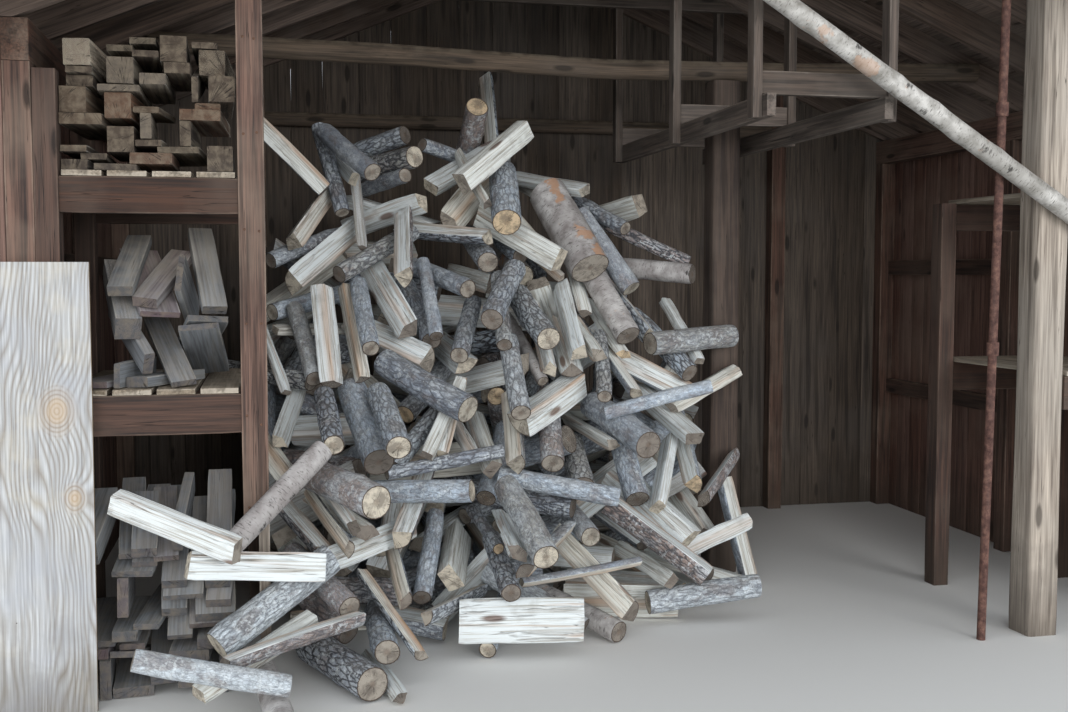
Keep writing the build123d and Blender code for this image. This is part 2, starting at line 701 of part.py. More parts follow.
# The logs that can be told apart on the front face, chosen one by one: where the near end is across
# and up, which way the log points seen from the front (0 is to the right and 90 is up), how far it
# turns away into the heap, both in degrees, and its thickness
front_rounds = (
    (-1210, 10, 145, 55, 130), (-740, 80, 70, 60, 75), (-40, 140, 10, 10, 105),
    (-1120, 150, 105, 70, 100), (-1950, 160, -15, 0, 80), (-1690, 200, 35, 15, 120),
    (-620, 250, 110, 60, 85), (310, 270, 140, 70, 95), (-980, 280, 80, 45, 80),
    (-1240, 300, 135, 50, 95), (-460, 360, 120, 50, 110), (-650, 400, 125, 65, 55),
    (-240, 420, 130, 60, 95), (-300, 510, 170, 20, 100), (-90, 530, 170, 0, 85),
    (-740, 610, -180, 20, 95), (-1130, 610, 155, 55, 130), (-230, 680, 105, 65, 115),
    (-370, 680, 95, 50, 105), (-1080, 700, 10, 15, 60), (-1170, 710, 170, 50, 115),
    (100, 720, 145, 50, 130), (-1100, 740, 110, 50, 130), (-1050, 760, 50, 45, 80),
    (-1020, 790, 110, 60, 105), (-1270, 810, 100, 65, 85), (-90, 860, 150, 50, 120),
    (-90, 860, 15, 0, 65), (-490, 890, 100, 50, 90), (-720, 910, 150, 35, 125),
    (-80, 930, 95, 55, 70), (400, 1000, 135, 35, 100), (-1330, 1040, 105, 50, 80),
    (-730, 1120, 75, 60, 85), (-1340, 1140, 170, 40, 80), (-1100, 1160, 100, 55, 80),
    (-530, 1160, 95, 50, 75), (-840, 1180, 115, 55, 95), (-310, 1180, 125, 60, 115),
    (-820, 1200, 100, 45, 65), (-570, 1270, 65, 60, 105), (230, 1280, 5, 35, 115),
    (-1500, 1300, 15, 35, 85), (150, 1390, 125, 20, 105), (-1210, 1460, 30, 40, 85),
    (-560, 1510, 125, 70, 105), (-650, 1520, 160, 55, 90), (530, 1520, 155, 0, 70),
    (-1500, 1530, 20, 35, 80), (-390, 1540, 140, 70, 80), (170, 1680, 150, 45, 75),
    (-440, 1700, 95, 60, 140), (-1180, 1730, 105, 35, 75), (-890, 1910, -160, 60, 75),
    (-1040, 1930, 140, 55, 90), (-840, 2000, -165, 50, 110), (-800, 2060, -20, 45, 70),
    (-870, 2110, -160, 35, 95), (-530, 2250, -105, 45, 115))
front_splits = (
    (-1840, 40, -10, 20, 70), (-1090, 0, 125, 65, 55), (-1750, 40, 30, 25, 80),
    (-1400, 70, 145, 20, 125), (-1000, 120, 125, 40, 65),
    (-100, 120, 135, 25, 110), (-1660, 130, 15, 20, 80), (-1350, 150, 80, 60, 140),
    (290, 180, 145, 0, 130), (580, 180, 105, 0, 100), (-850, 190, 0, 0, 135),
    (110, 190, 150, 55, 75), (-960, 220, 25, 60, 65), (-580, 280, 10, 15, 55),
    (-550, 320, 45, 60, 75), (-860, 320, 80, 65, 120), (240, 330, 140, 25, 110),
    (-1030, 380, 105, 60, 65), (-570, 380, 115, 70, 80), (180, 410, 25, 40, 60),
    (-1310, 430, 20, 45, 80), (-1230, 460, 125, 55, 60), (-1330, 460, 130, 50, 85),
    (-1030, 470, 70, 50, 95), (100, 470, 80, 50, 85), (-1780, 480, -5, 15, 100),
    (-1630, 520, 155, 25, 95), (-1160, 530, 145, 60, 90), (-1210, 530, 125, 50, 75),
    (380, 570, 55, 60, 80), (350, 590, 105, 45, 100), (-1420, 660, 125, 50, 70),
    (-520, 710, 95, 50, 95), (-640, 710, 110, 60, 90), (360, 720, 140, 45, 105),
    (-720, 740, 120, 70, 50), (-850, 740, 75, 45, 65), (-70, 740, 150, 60, 70),
    (-910, 750, 65, 45, 65), (-1470, 820, 70, 60, 70), (-510, 840, 35, 50, 115),
    (80, 930, 125, 45, 80), (290, 980, 30, 45, 70), (-1440, 1020, 110, 45, 50),
    (-1270, 1020, 95, 35, 75), (-220, 1030, 110, 60, 85), (-1140, 1030, 100, 35, 60),
    (480, 1050, 120, 45, 65), (-310, 1050, 105, 50, 80), (-850, 1100, 155, 40, 110),
    (-440, 1110, -165, 40, 110), (-70, 1110, 125, 60, 80), (60, 1110, 125, 50, 70),
    (-180, 1120, 105, 50, 90), (190, 1170, 130, 35, 90), (-1490, 1230, 0, 30, 65),
    (-940, 1230, 120, 45, 100), (-110, 1290, 105, 50, 65), (-530, 1410, 165, 65, 105),
    (-1420, 1420, 40, 40, 110), (-200, 1440, 140, 50, 40), (-920, 1450, 90, 55, 95),
    (-200, 1530, 150, 30, 120), (-1100, 1570, 95, 45, 50), (-1410, 1600, 55, 45, 95),
    (-550, 1610, 175, 30, 90), (-240, 1610, 130, 40, 65), (-720, 1690, 50, 55, 100),
    (-830, 1780, -160, 40, 90), (-540, 1780, 120, 55, 55), (-90, 1790, 150, 50, 65),
    (270, 1800, -165, 55, 115), (-1260, 1830, 135, 10, 90), (-10, 1860, 170, 40, 85),
    (-780, 1870, 30, 40, 100), (-630, 1880, 40, 40, 110), (-1120, 1890, 130, 60, 75),
    (-480, 2030, 95, 45, 95), (-400, 2070, -90, 40, 55))
front_birches = (
    (-1480, 40, 110, 60, 95), (-180, 60, 155, 40, 95), (-1640, 540, 45, 15, 85),
    (-360, 1020, 120, 45, 60), (90, 1180, 120, 30, 125), (-390, 1450, 135, 70, 115),
    (550, 1460, 175, 20, 105), (-50, 1490, 120, 35, 195))

# The heap is seen from this place, so its logs are pushed home along the line of sight
viewpoint = np.array([-1500, -5515, 1460])


def front_log(kind, section_of, x, z, points, turns_away, thickness):
    """One log of the front face, at its place before it is seated."""
    near_end = np.array([x, face_y(x, z), z])
    sight = (near_end - viewpoint) / np.linalg.norm(near_end - viewpoint)
    right = np.cross(sight, (0, 0, 1))
    right /= np.linalg.norm(right)
    up = np.cross(right, sight)
    points, turns_away = math.radians(points), math.radians(turns_away)
    along = (math.cos(turns_away) * (math.cos(points) * right + math.sin(points) * up)
             + math.sin(turns_away) * sight)
    length = log_length * draw.uniform(0.96, 1.04)
    log = Log(kind, section_of(thickness), length, near_end + along * length / 2, along)
    foremost, lowest = (log.middle + log.corners).min(axis=0)[1:]
    log.middle += (0, max(0, roof_front_y - foremost), max(0, seat_gap - lowest))
    return log


def rests_on_ground(log):
    """Whether a log touches the ground."""
    return (log.middle + log.corners)[:, 2].min() < 2 * seat_gap


def under_roof(log):
    """Whether a log stays behind the front edge of the roof."""
    return (log.middle + log.corners)[:, 1].min() > roof_front_y - seat_gap


def in_heap(log):
    """Whether a hidden log lies inside the heap's form, behind the logs of its front face."""
    for x, y, z in log.ends():
        if not heap_left < x < heap_right or y < face_y(x, z) + 60 or z > skyline_height(x) - 40:
            return False
    return abs(log.along[2]) < 0.7


front_logs = [front_log("round", round_section, *row) for row in front_rounds]
front_logs += [front_log("split", split_section, *row) for row in front_splits]
front_logs += [front_log("birch", round_section, *row) for row in front_birches]
front_logs.sort(key=Log.height)

# The heap grows in layers: the logs of the front face first, then hidden ones laid behind them
# until several in a row find no place
layer = 150
for floor in np.arange(0, heap_top, layer):
    while front_logs and front_logs[0].height() < floor + layer:
        log = front_logs.pop(0)
        sight = (log.middle - viewpoint) / np.linalg.norm(log.middle - viewpoint)
        pile.push_home(log, sight, home_reach)
        pile.drop(log)
        if rests_on_ground(log):
            pile.slide(log, heap_middle - log.middle, slide_reach)
        if under_roof(log) and pile.clear(log):
            pile.add(log)
    misses = 0
    while misses < empty_tries:
        misses += 1
        x = draw.uniform(heap_left, heap_right)
        top = skyline_height(x)
        rear = crest_y + (rear_y - crest_y) * max(0.15, 1 - floor / top)
        front = face_y(x, floor) + behind_face
        heading = draw.uniform(0, math.pi)
        y = front + (rear - front) * draw.uniform()
        length = log_length * draw.uniform(0.92, 1.04)
        if draw.random() < 0.45:
            kind, section = "round", round_section(draw.uniform(80, 140))
        else:
            kind, section = "split", split_section(draw.uniform(85, 130))
        if front < rear and floor < top - 100:
            log = pile.lay(kind, section, length, np.array([x, y, floor + layer + 500]), heading)
            if rests_on_ground(log):
                pile.slide(log, heap_middle - log.middle, slide_reach)
            if log.height() < floor + layer * 0.6 and in_heap(log) and pile.clear(log):
                pile.add(log)
                misses = 0


def log_piece(name, logs):
    """Make one piece of logs that lie apart, each a prism on the plane of its lower end."""
    with BuildPart() as piece:
        prisms = []
        for log in logs:
            plane = Plane(origin=tuple(log.ends()[0]), x_dir=tuple(log.across),
                          z_dir=tuple(log.along))
            with BuildSketch(plane, mode=Mode.PRIVATE) as face:
                Polygon(*[tuple(corner) for corner in log.section], align=None)
            prisms.append(extrude(face.sketch, amount=log.length, mode=Mode.PRIVATE))
        add(prisms)
    finish(piece, name)


heap_logs = pile.logs[fixed_count:]
zones = (("low", 0, 600), ("middle", 600, 1200), ("top", 1200, 3000))
for kind in ("round", "split"):
    for zone, floor, ceiling in zones:
        log_piece(f"{kind}_logs_{zone}",
                  [log for log in heap_logs if log.kind == kind and floor <= log.height() < ceiling])
log_piece("birch_logs", [log for log in heap_logs if log.kind == "birch"])
for name, stack in offcut_stacks.items():
    log_piece(name, stack)

# Roof covering: ribbed steel sheets down each slope, and a folded cap over the ridge
rib_spacing = 229
rib_height = 19
rib_top = 20
rib_foot = 60
sheet_steel = 3              # thicker than the real sheet, so that it is a sound solid
eave_drip = 40               # sheets beyond the eave boards, measured level
cap_width = 150
roof_y0 = roof_front_y - 10
roof_y1 = roof_back_y + 10


def ribbed_line(lift):
    """The sheet's section along the eaves, as a line lifted square off the deck."""
    points = [(roof_y0, lift)]
    ribs = int((roof_y1 - roof_y0) // rib_spacing)
    first = (roof_y0 + roof_y1 - (ribs - 1) * rib_spacing) / 2
    for i in range(ribs):
        middle = first + i * rib_spacing
        points += [(middle - rib_foot / 2, lift), (middle - rib_top / 2, lift + rib_height),
                   (middle + rib_top / 2, lift + rib_height), (middle + rib_foot / 2, lift)]
    return points + [(roof_y1, lift)]


slope_angle = math.degrees(math.atan(roof_slope))
eave_x = tail_x + fascia_board + eave_drip
sheet_start_x = 4            # the two slopes' sheets stop short of the ridge line
for side, name in ((-1, "roof_sheets_left"), (1, "roof_sheets_right")):
    with BuildPart() as roof_sheets:
        down_slope = Vector(side, 0, -roof_slope).normalized()
        start = (side * sheet_start_x, 0, apex_top - roof_slope * sheet_start_x)
        with BuildSketch(Plane(origin=start, x_dir=(0, 1, 0), z_dir=down_slope)) as profile:
            under, over = ribbed_line(seat_gap), ribbed_line(seat_gap + sheet_steel)
            outline = [(y, side * lift) for y, lift in under + over[::-1]]
            with BuildLine():
                Polyline(*outline, close=True)
            make_face()
        extrude(profile.sketch, amount=(eave_x - sheet_start_x) * math.hypot(1, roof_slope))
    finish(roof_sheets, name)

with BuildPart() as ridge_cap:
    lift = (rib_height + sheet_steel + 2 * seat_gap) * math.hypot(1, roof_slope)
    thickness = sheet_steel * math.hypot(1, roof_slope)
    rim = apex_top + lift - roof_slope * cap_width
    plate_facing_front([(-cap_width, rim), (0, apex_top + lift), (cap_width, rim),
                        (cap_width, rim + thickness), (0, apex_top + lift + thickness),
                        (-cap_width, rim + thickness)], roof_y0, roof_y1 - roof_y0)
finish(ridge_cap, "ridge_cap")
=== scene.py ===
import math

import bpy
import numpy as np
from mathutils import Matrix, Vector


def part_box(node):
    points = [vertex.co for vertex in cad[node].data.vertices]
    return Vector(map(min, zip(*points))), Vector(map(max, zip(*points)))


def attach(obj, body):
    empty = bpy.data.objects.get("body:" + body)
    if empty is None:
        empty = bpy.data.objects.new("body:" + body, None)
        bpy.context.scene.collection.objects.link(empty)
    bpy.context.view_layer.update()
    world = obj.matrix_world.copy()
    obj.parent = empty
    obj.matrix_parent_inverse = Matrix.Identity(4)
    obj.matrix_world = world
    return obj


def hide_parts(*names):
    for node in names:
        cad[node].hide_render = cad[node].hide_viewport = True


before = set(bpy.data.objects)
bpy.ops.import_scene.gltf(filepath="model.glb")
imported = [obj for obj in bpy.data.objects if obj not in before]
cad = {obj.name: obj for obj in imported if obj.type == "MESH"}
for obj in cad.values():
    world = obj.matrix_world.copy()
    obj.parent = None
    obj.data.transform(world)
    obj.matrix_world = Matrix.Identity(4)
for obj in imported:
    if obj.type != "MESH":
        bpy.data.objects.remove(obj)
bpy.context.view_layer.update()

# Frame timbers of the shed
# Posts, plates, girts and rails are sawn softwood, stained red-brown long ago and now dry and
# streaked. Each is a straight stick with slightly rounded arrises, cut square or to the roof slope.


def solids_of(name):
    """Corners and triangles of each separate solid of a CAD node.

    Equal corners are joined first, then each corner takes the lowest number among the corners that
    its triangles reach, again and again, until every solid has one number.
    """
    mesh = cad[name].data
    places = np.empty(len(mesh.vertices) * 3, np.float32)
    mesh.vertices.foreach_get("co", places)
    used = np.empty(len(mesh.loops), int)
    mesh.loops.foreach_get("vertex_index", used)
    corners, same = np.unique(places.reshape(-1, 3), axis=0, return_inverse=True)
    triangles = same.reshape(-1)[used].reshape(-1, 3)
    number = np.arange(len(corners))
    while True:
        lowest = number.copy()
        np.minimum.at(lowest, triangles.ravel(), np.repeat(number[triangles].min(axis=1), 3))
        if np.array_equal(lowest, number):
            break
        number = lowest
    solids = []
    for k in np.unique(number):
        mine = np.flatnonzero(number == k)
        renumber = np.full(len(corners), -1)
        renumber[mine] = np.arange(len(mine))
        inside = number[triangles[:, 0]] == k
        solids.append((corners[mine].astype(float), renumber[triangles[inside]]))
    return solids


class Stick:
    """A straight piece: its middle, its run, two directions square to it, and its outline.

    The outline holds, for each long edge, its place across and over the run and where it starts
    and stops along the run, anticlockwise as seen against the run.
    """

    def __init__(self, middle, along, across, outline):
        self.middle, self.along, self.across = middle, along, across
        self.over = np.cross(along, across)
        self.outline = outline

    def grid(self, run, across, over):
        """Points at places along, across and over the stick."""
        return (self.middle + across[..., None] * self.across + over[..., None] * self.over
                + run[..., None] * self.along)


def stick_of(corners, triangles):
    """Read a straight solid as a stick.

    Its run is the edge most in line with the solid's longest spread, and its width lies along the
    longest side of its outline.
    """
    middle = corners.mean(axis=0)
    spread = np.linalg.svd(corners - middle)[2][0]
    sides = (corners[triangles[:, [1, 2, 0]]] - corners[triangles]).reshape(-1, 3)
    along = sides[(np.abs(sides @ spread) / np.linalg.norm(sides, axis=1)).argmax()]
    along = along / np.linalg.norm(along) * np.sign(along[np.abs(along).argmax()])
    run = (corners - middle) @ along
    flat = corners - middle - run[:, None] * along
    first = flat[run < 0][0] / np.linalg.norm(flat[run < 0][0])
    angle = (np.arctan2(flat @ np.cross(along, first), flat @ first) + 0.01) % math.tau
    low, high = (np.flatnonzero(part)[np.argsort(angle[part])] for part in (run < 0, run >= 0))
    edges = np.roll(flat[low], -1, axis=0) - flat[low]
    lengths = np.linalg.norm(edges, axis=1)
    across = edges[lengths.argmax()] / lengths.max()
    outline = np.column_stack([flat[low] @ across, flat[low] @ np.cross(along, across),
                               run[low], run[high]])
    return Stick(middle, along, across, outline)


def sticks_of(name):
    """Every solid of a CAD node as a stick."""
    return [stick_of(corners, triangles) for corners, triangles in solids_of(name)]


def rounded(outline, radius, turn_points=3, side_points=2):
    """A closed outline with rounded corners, and points between them along each side.

    A corner is the quadratic curve (1-s)^2 a + 2s(1-s) c + s^2 b between points a and b that lie a
    radius away from the corner c on its two sides.
    """
    before = np.roll(outline, 1, axis=0)
    after = np.roll(outline, -1, axis=0)
    cut_in = radius / np.linalg.norm((before - outline)[:, :2], axis=1)
    cut_out = radius / np.linalg.norm((after - outline)[:, :2], axis=1)
    start = outline + (before - outline) * np.minimum(cut_in, 0.35)[:, None]
    stop = outline + (after - outline) * np.minimum(cut_out, 0.35)[:, None]
    s = np.linspace(0, 1, turn_points)[None, :, None]
    turn = (1 - s) ** 2 * start[:, None] + 2 * s * (1 - s) * outline[:, None] + s ** 2 * stop[:, None]
    t = np.linspace(0, 1, side_points + 2)[None, 1:-1, None]
    side = stop[:, None] * (1 - t) + np.roll(start, -1, axis=0)[:, None] * t
    return np.concatenate([turn, side], axis=1).reshape(-1, outline.shape[1])


def ripple(share, around, run_waves, side_waves, count, phases=6.0):
    """Mean of sines over a share of the run and an angle round it, between -1 and 1."""
    return sum(np.sin(draw.uniform(*run_waves) * share + draw.integers(*side_waves) * around
                      + draw.uniform(0, phases)) for _ in range(count)) / count


def carried(stick, ring, stations, waver=0.0006):
    """Grid of points where a ring is carried along a stick's run, and each point's place in the wood.

    The ring shrinks by a bevel at both ends, and everywhere by a ripple, so the sides are never
    dead flat and never stand outside the solid.
    """
    bevel = 0.0015
    share = np.linspace(0, 1, stations)[:, None]
    run = ring[:, 2] * (1 - share) + ring[:, 3] * share
    size = np.linalg.norm(ring[:, :2], axis=1).mean()
    around = np.arange(len(ring)) / len(ring) * math.tau
    shrink = 1 - waver * (1 + ripple(share, around, (2, 9), (1, 5), 4)) / size
    shrink[[0, -1]] -= bevel / size
    across, over = ring[:, 0] * shrink, ring[:, 1] * shrink
    return stick.grid(run, across, over), np.stack([run, across, over], axis=-1)


class Surface:
    """Rings of quads and their end faces, gathered until they go into one mesh.

    Every point keeps its place in the wood, which is its place along, across and over the stick,
    a tone from 0 to 1 that is the same all over one stick, and its depth under the bark, or in
    sawn wood its distance from the nearest arris.
    """

    def __init__(self):
        self.points, self.wood, self.tone, self.depth = [], [], [], []
        self.faces, self.finish, self.count = [], [], 0

    def add_tube(self, points, wood, tone, depth=0.05, side_finish=0, end_finish=0, ends=(0, -1)):
        """Add a grid as a tube: quads between its rings, and a face on each end that is named."""
        rings, size = points.shape[:2]
        depth = np.broadcast_to(depth, (rings, size))
        self.depth.append(depth.ravel())
        number = self.count + np.arange(rings * size).reshape(rings, size)
        ahead = np.roll(number, -1, axis=1)
        quads = np.stack([number[:-1], ahead[:-1], ahead[1:], number[1:]], axis=-1).reshape(-1, 4)
        self.faces += quads.tolist()
        self.finish.append(np.broadcast_to(side_finish, (rings - 1, size)).reshape(-1))
        self.points.append(points.reshape(-1, 3))
        self.wood.append(wood.reshape(-1, 3))
        self.count += rings * size
        for ring in ends:
            self.faces.append((self.count + np.arange(size)[::1 if ring else -1]).tolist())
            self.finish.append(np.array([end_finish]))
            self.points.append(points[ring])
            self.wood.append(wood[ring])
            self.depth.append(depth[ring])
            self.count += size
        self.tone.append(np.full(rings * size + len(ends) * size, tone))

    def build(self, name, materials, replaced):
        """Make the mesh, give it its materials, put it under the root, and hide the CAD node that it
        takes the place of.
        """
        mesh = bpy.data.meshes.new(name)
        mesh.from_pydata(np.concatenate(self.points).tolist(), [], self.faces)
        for label, kind, field, values in (
                ("wood", "FLOAT_VECTOR", "vector", np.concatenate(self.wood)),
                ("tone", "FLOAT", "value", np.concatenate(self.tone)),
                ("depth", "FLOAT", "value", np.concatenate(self.depth))):
            layer = mesh.attributes.new(label, kind, "POINT")
            layer.data.foreach_set(field, values.astype(np.float32).ravel())
        mesh.polygons.foreach_set("material_index", np.concatenate(self.finish).astype(np.int32))
        corners = np.array([len(face) for face in self.faces])
        mesh.polygons.foreach_set("use_smooth", corners == 4)
        for material in materials:
            mesh.materials.append(material)
        piece = placed(name, mesh)
        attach(piece, "root")
        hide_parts(replaced)


def placed(name, data):
    """A new object in the scene for a mesh, a lamp or a camera."""
    made = bpy.data.objects.new(name, data)
    bpy.context.scene.collection.objects.link(made)
    return made


def linear(*values):
    """Screen colour values from 0 to 255 as a linear colour."""
    share = np.array(values) / 255
    curve = np.where(share < 0.04045, share / 12.92, ((share + 0.055) / 1.055) ** 2.4)
    return (*curve.tolist(), 1)


def fill(socket, value):
    """Link a socket, or set its value. A colour of three parts is in screen values."""
    if isinstance(value, bpy.types.NodeSocket):
        socket.id_data.links.new(value, socket)
    elif socket.type == "RGBA" and len(value) == 3:
        socket.default_value = linear(*value)
    else:
        socket.default_value = value


def node(tree, kind, settings=None, **inputs):
    """Add a node, set its properties, and fill its inputs by name or number."""
    made = tree.nodes.new("ShaderNode" + kind)
    for label, value in (settings or {}).items():
        setattr(made, label, value)
    for label, value in inputs.items():
        key = int(label[1:]) if label[1:].isdigit() else label.replace("_", " ")
        fill(made.inputs[key], value)
    return made


def tree_of(*values):
    """The node tree that the first socket among some values belongs to."""
    return next(value.id_data for value in values if isinstance(value, bpy.types.NodeSocket))


def math_node(operation, *values, clamp=False):
    """One math node's result from its values or sockets."""
    return node(tree_of(*values), "Math", {"operation": operation, "use_clamp": clamp},
                **{f"i{i}": value for i, value in enumerate(values)}).outputs[0]


def times(first, second):
    """Product of two values or sockets."""
    return math_node("MULTIPLY", first, second)


def plus(first, second):
    """Sum of two values or sockets."""
    return math_node("ADD", first, second)


def minus(first, second):
    """Difference of two values or sockets."""
    return math_node("SUBTRACT", first, second)


def object_place(tree):
    """Place on the object."""
    return node(tree, "TexCoord").outputs["Object"]


def stored(tree, label):
    """A value that the mesh keeps for each point."""
    return node(tree, "Attribute", {"attribute_name": label}).outputs["Fac"]


def part_of(place, axis):
    """One part of a place."""
    return node(tree_of(place), "SeparateXYZ", Vector=place).outputs[axis]


def mapped(place, scale=(1, 1, 1), shift=0.0, turn=(0, 0, 0)):
    """A place with its parts multiplied, shifted and turned."""
    return node(tree_of(place), "Mapping", Vector=place, Scale=scale,
                Location=(shift, shift, shift), Rotation=turn).outputs[0]


def stretched(place, along, across, shift=0.0):
    """A place scaled so that a pattern on it is drawn out along the wood."""
    return mapped(place, (along, across, across), shift)


def noise(place, scale=1.0, detail=4.0, roughness=0.55, distortion=0.0):
    """Value of a noise texture at a place."""
    return node(tree_of(place), "TexNoise", Vector=place, Scale=scale, Detail=detail,
                Roughness=roughness, Distortion=distortion).outputs["Fac"]


def cells(place, scale=1.0, feature="F1"):
    """Distance in a texture of random cells, from their middles or from their edges."""
    return node(tree_of(place), "TexVoronoi", {"feature": feature}, Scale=scale,
                Vector=place).outputs["Distance"]


def chance(value):
    """A random value from 0 to 1 that belongs to a value."""
    return node(tree_of(value), "TexWhiteNoise", {"noise_dimensions": "1D"},
                W=value).outputs["Value"]


def ramp(value, *stops, interpolation="LINEAR"):
    """A value through a ramp of (position, screen colour) stops."""
    made = node(tree_of(value), "ValToRGB", Fac=value)
    made.color_ramp.interpolation = interpolation
    elements = made.color_ramp.elements
    for position, _ in stops[1:-1]:
        elements.new(position)
    for element, (position, colour) in zip(elements, stops):
        element.position = position
        element.color = linear(*colour) if len(colour) == 3 else colour
    return made.outputs["Color"]


def level(value, low, high, start=0.0, stop=1.0):
    """A value mapped from one range to another, and kept inside it."""
    return node(tree_of(value), "MapRange", Value=value, From_Min=low, From_Max=high,
                To_Min=start, To_Max=stop).outputs["Result"]


def mixed(share, first, second, blend="MIX"):
    """Two colours mixed by a share."""
    return node(tree_of(share, first, second), "Mix", {"data_type": "RGBA", "blend_type": blend},
                i0=share, i6=first, i7=second).outputs[2]


def layered(base, *coats):
    """A colour under coats of other colours: each coat is its colour, its mask and its strength."""
    for colour, mask, *strength in coats:
        base = mixed(times(mask, *strength) if strength else mask, base, colour)
    return base


def shader_group(name, **inputs):
    """A new node group and its inputs: a vector where no value is given, and else a number."""
    tree = bpy.data.node_groups.new(name, "ShaderNodeTree")
    for label, value in inputs.items():
        socket = tree.interface.new_socket(
            label.replace("_", " "), in_out="INPUT",
            socket_type="NodeSocketVector" if value is None else "NodeSocketFloat")
        if value is not None:
            socket.default_value = value
    return tree, tree.nodes.new("NodeGroupInput").outputs


def give_out(tree, **results):
    """Name a node group's results and link them to its outputs."""
    for label in results:
        tree.interface.new_socket(label.replace("_", " "), in_out="OUTPUT",
                                  socket_type="NodeSocketFloat")
    outlet = tree.nodes.new("NodeGroupOutput")
    for label, value in results.items():
        fill(outlet.inputs[label.replace("_", " ")], value)


def group_node(tree, group, **inputs):
    """A node group placed in a material, with its inputs filled."""
    return node(tree, "Group", {"node_tree": group}, **inputs).outputs


def combined_place(wood, tone, steps=(37.0, 11.0, 5.0)):
    """The wood place moved far off by the tone, so that no two sticks show the same grain."""
    offset = node(tree_of(tone), "CombineXYZ", X=times(tone, steps[0]), Y=times(tone, steps[1]),
                  Z=times(tone, steps[2])).outputs[0]
    return node(tree_of(tone), "VectorMath", {"operation": "ADD"}, i0=wood, i1=offset).outputs[0]


# Grain of sawn wood: long streaks, slower bands, a few knots with the grain bent round them, and
# drying checks
grain_tree, given = shader_group("Sawn grain", Wood=None, Tone=0.5)
place = combined_place(given["Wood"], given["Tone"])
streaks = noise(stretched(place, 3, 110), detail=6, roughness=0.6, distortion=0.4)
bands = noise(stretched(place, 1.3, 22, 3), detail=3, distortion=0.8)
knots = level(cells(stretched(place, 2.6, 9, 7)), 0.1, 0.16, 1, 0)
check_lines = noise(stretched(place, 1.6, 60, 11), detail=2, distortion=0.2)
checks = times(level(math_node("ABSOLUTE", minus(check_lines, 0.5)), 0.0, 0.012, 1, 0),
               level(bands, 0.5, 0.62))
give_out(grain_tree, Streaks=streaks, Bands=bands, Knots=knots, Checks=checks,
         Height=minus(times(streaks, 0.6), checks))

# Weathering by height over the ground: rising damp and splashed dirt at the foot, dust in patches
weather_tree, given = shader_group("Weathering", Foot_height=0.5)
everywhere = object_place(weather_tree)
edge = times(given["Foot height"], level(noise(everywhere, 6, 5), 0.3, 0.7, 0.4, 1.4))
damp = math_node("SUBTRACT", 1.0, math_node("DIVIDE", part_of(everywhere, "Z"), edge), clamp=True)
facing_up = part_of(node(weather_tree, "NewGeometry").outputs["Normal"], "Z")
dust = times(level(facing_up, 0.3, 0.95), level(noise(everywhere, 14, 4), 0.35, 0.6))
give_out(weather_tree, Damp=damp, Dust=dust, Blotches=noise(everywhere, 2.3, 4))


def new_material(name):
    """An empty node material with its shader: the tree and the Principled BSDF."""
    material = bpy.data.materials.new(name)
    material.use_nodes = True
    tree = material.node_tree
    return material, tree, tree.nodes["Principled BSDF"]


def wood_material(name, turn=None):
    """A new wood: its material, tree and shader, and sockets of the place in it and of its tone.

    The place and tone come from the mesh, or where a turn is given from the object's own place
    turned so that X is the run, with one tone for each bay along Y.
    """
    material, tree, shader = new_material(name)
    if turn is None:
        place = node(tree, "Attribute", {"attribute_name": "wood"}).outputs["Vector"]
        return material, tree, shader, place, stored(tree, "tone")
    everywhere = object_place(tree)
    bay = math_node("FLOOR", math_node("DIVIDE", part_of(everywhere, "Y"), 0.2))
    return material, tree, shader, mapped(everywhere, turn=turn), chance(bay)


def set_surface(shader, colour, roughness, height, bump):
    """Fill the shader's colour and roughness, and link a bump to it."""
    lifted = node(shader.id_data, "Bump", Strength=0.9, Distance=bump, Height=height)
    fill(shader.inputs["Base Color"], colour)
    fill(shader.inputs["Roughness"], roughness)
    fill(shader.inputs["Normal"], lifted.outputs["Normal"])


def arris_wear_and_highlight(wood, reach=0.005):
    """Share of pale edge, partly wear and partly painted highlight, by the distance from the nearest
    arris, ragged and broken into stretches.
    """
    ragged = plus(stored(tree_of(wood), "depth"),
                  times(noise(stretched(wood, 30, 90), detail=3), 0.006))
    return times(level(ragged, 0.003, 0.003 + reach, 1, 0),
                 level(noise(wood, 5, 3), 0.4, 0.6, 0.15, 1))


def toned_by(colour, factor):
    """A linear colour made darker or lighter, its parts up to 0.8."""
    return (*(min(part * factor, 0.8) for part in colour[:3]), 1)


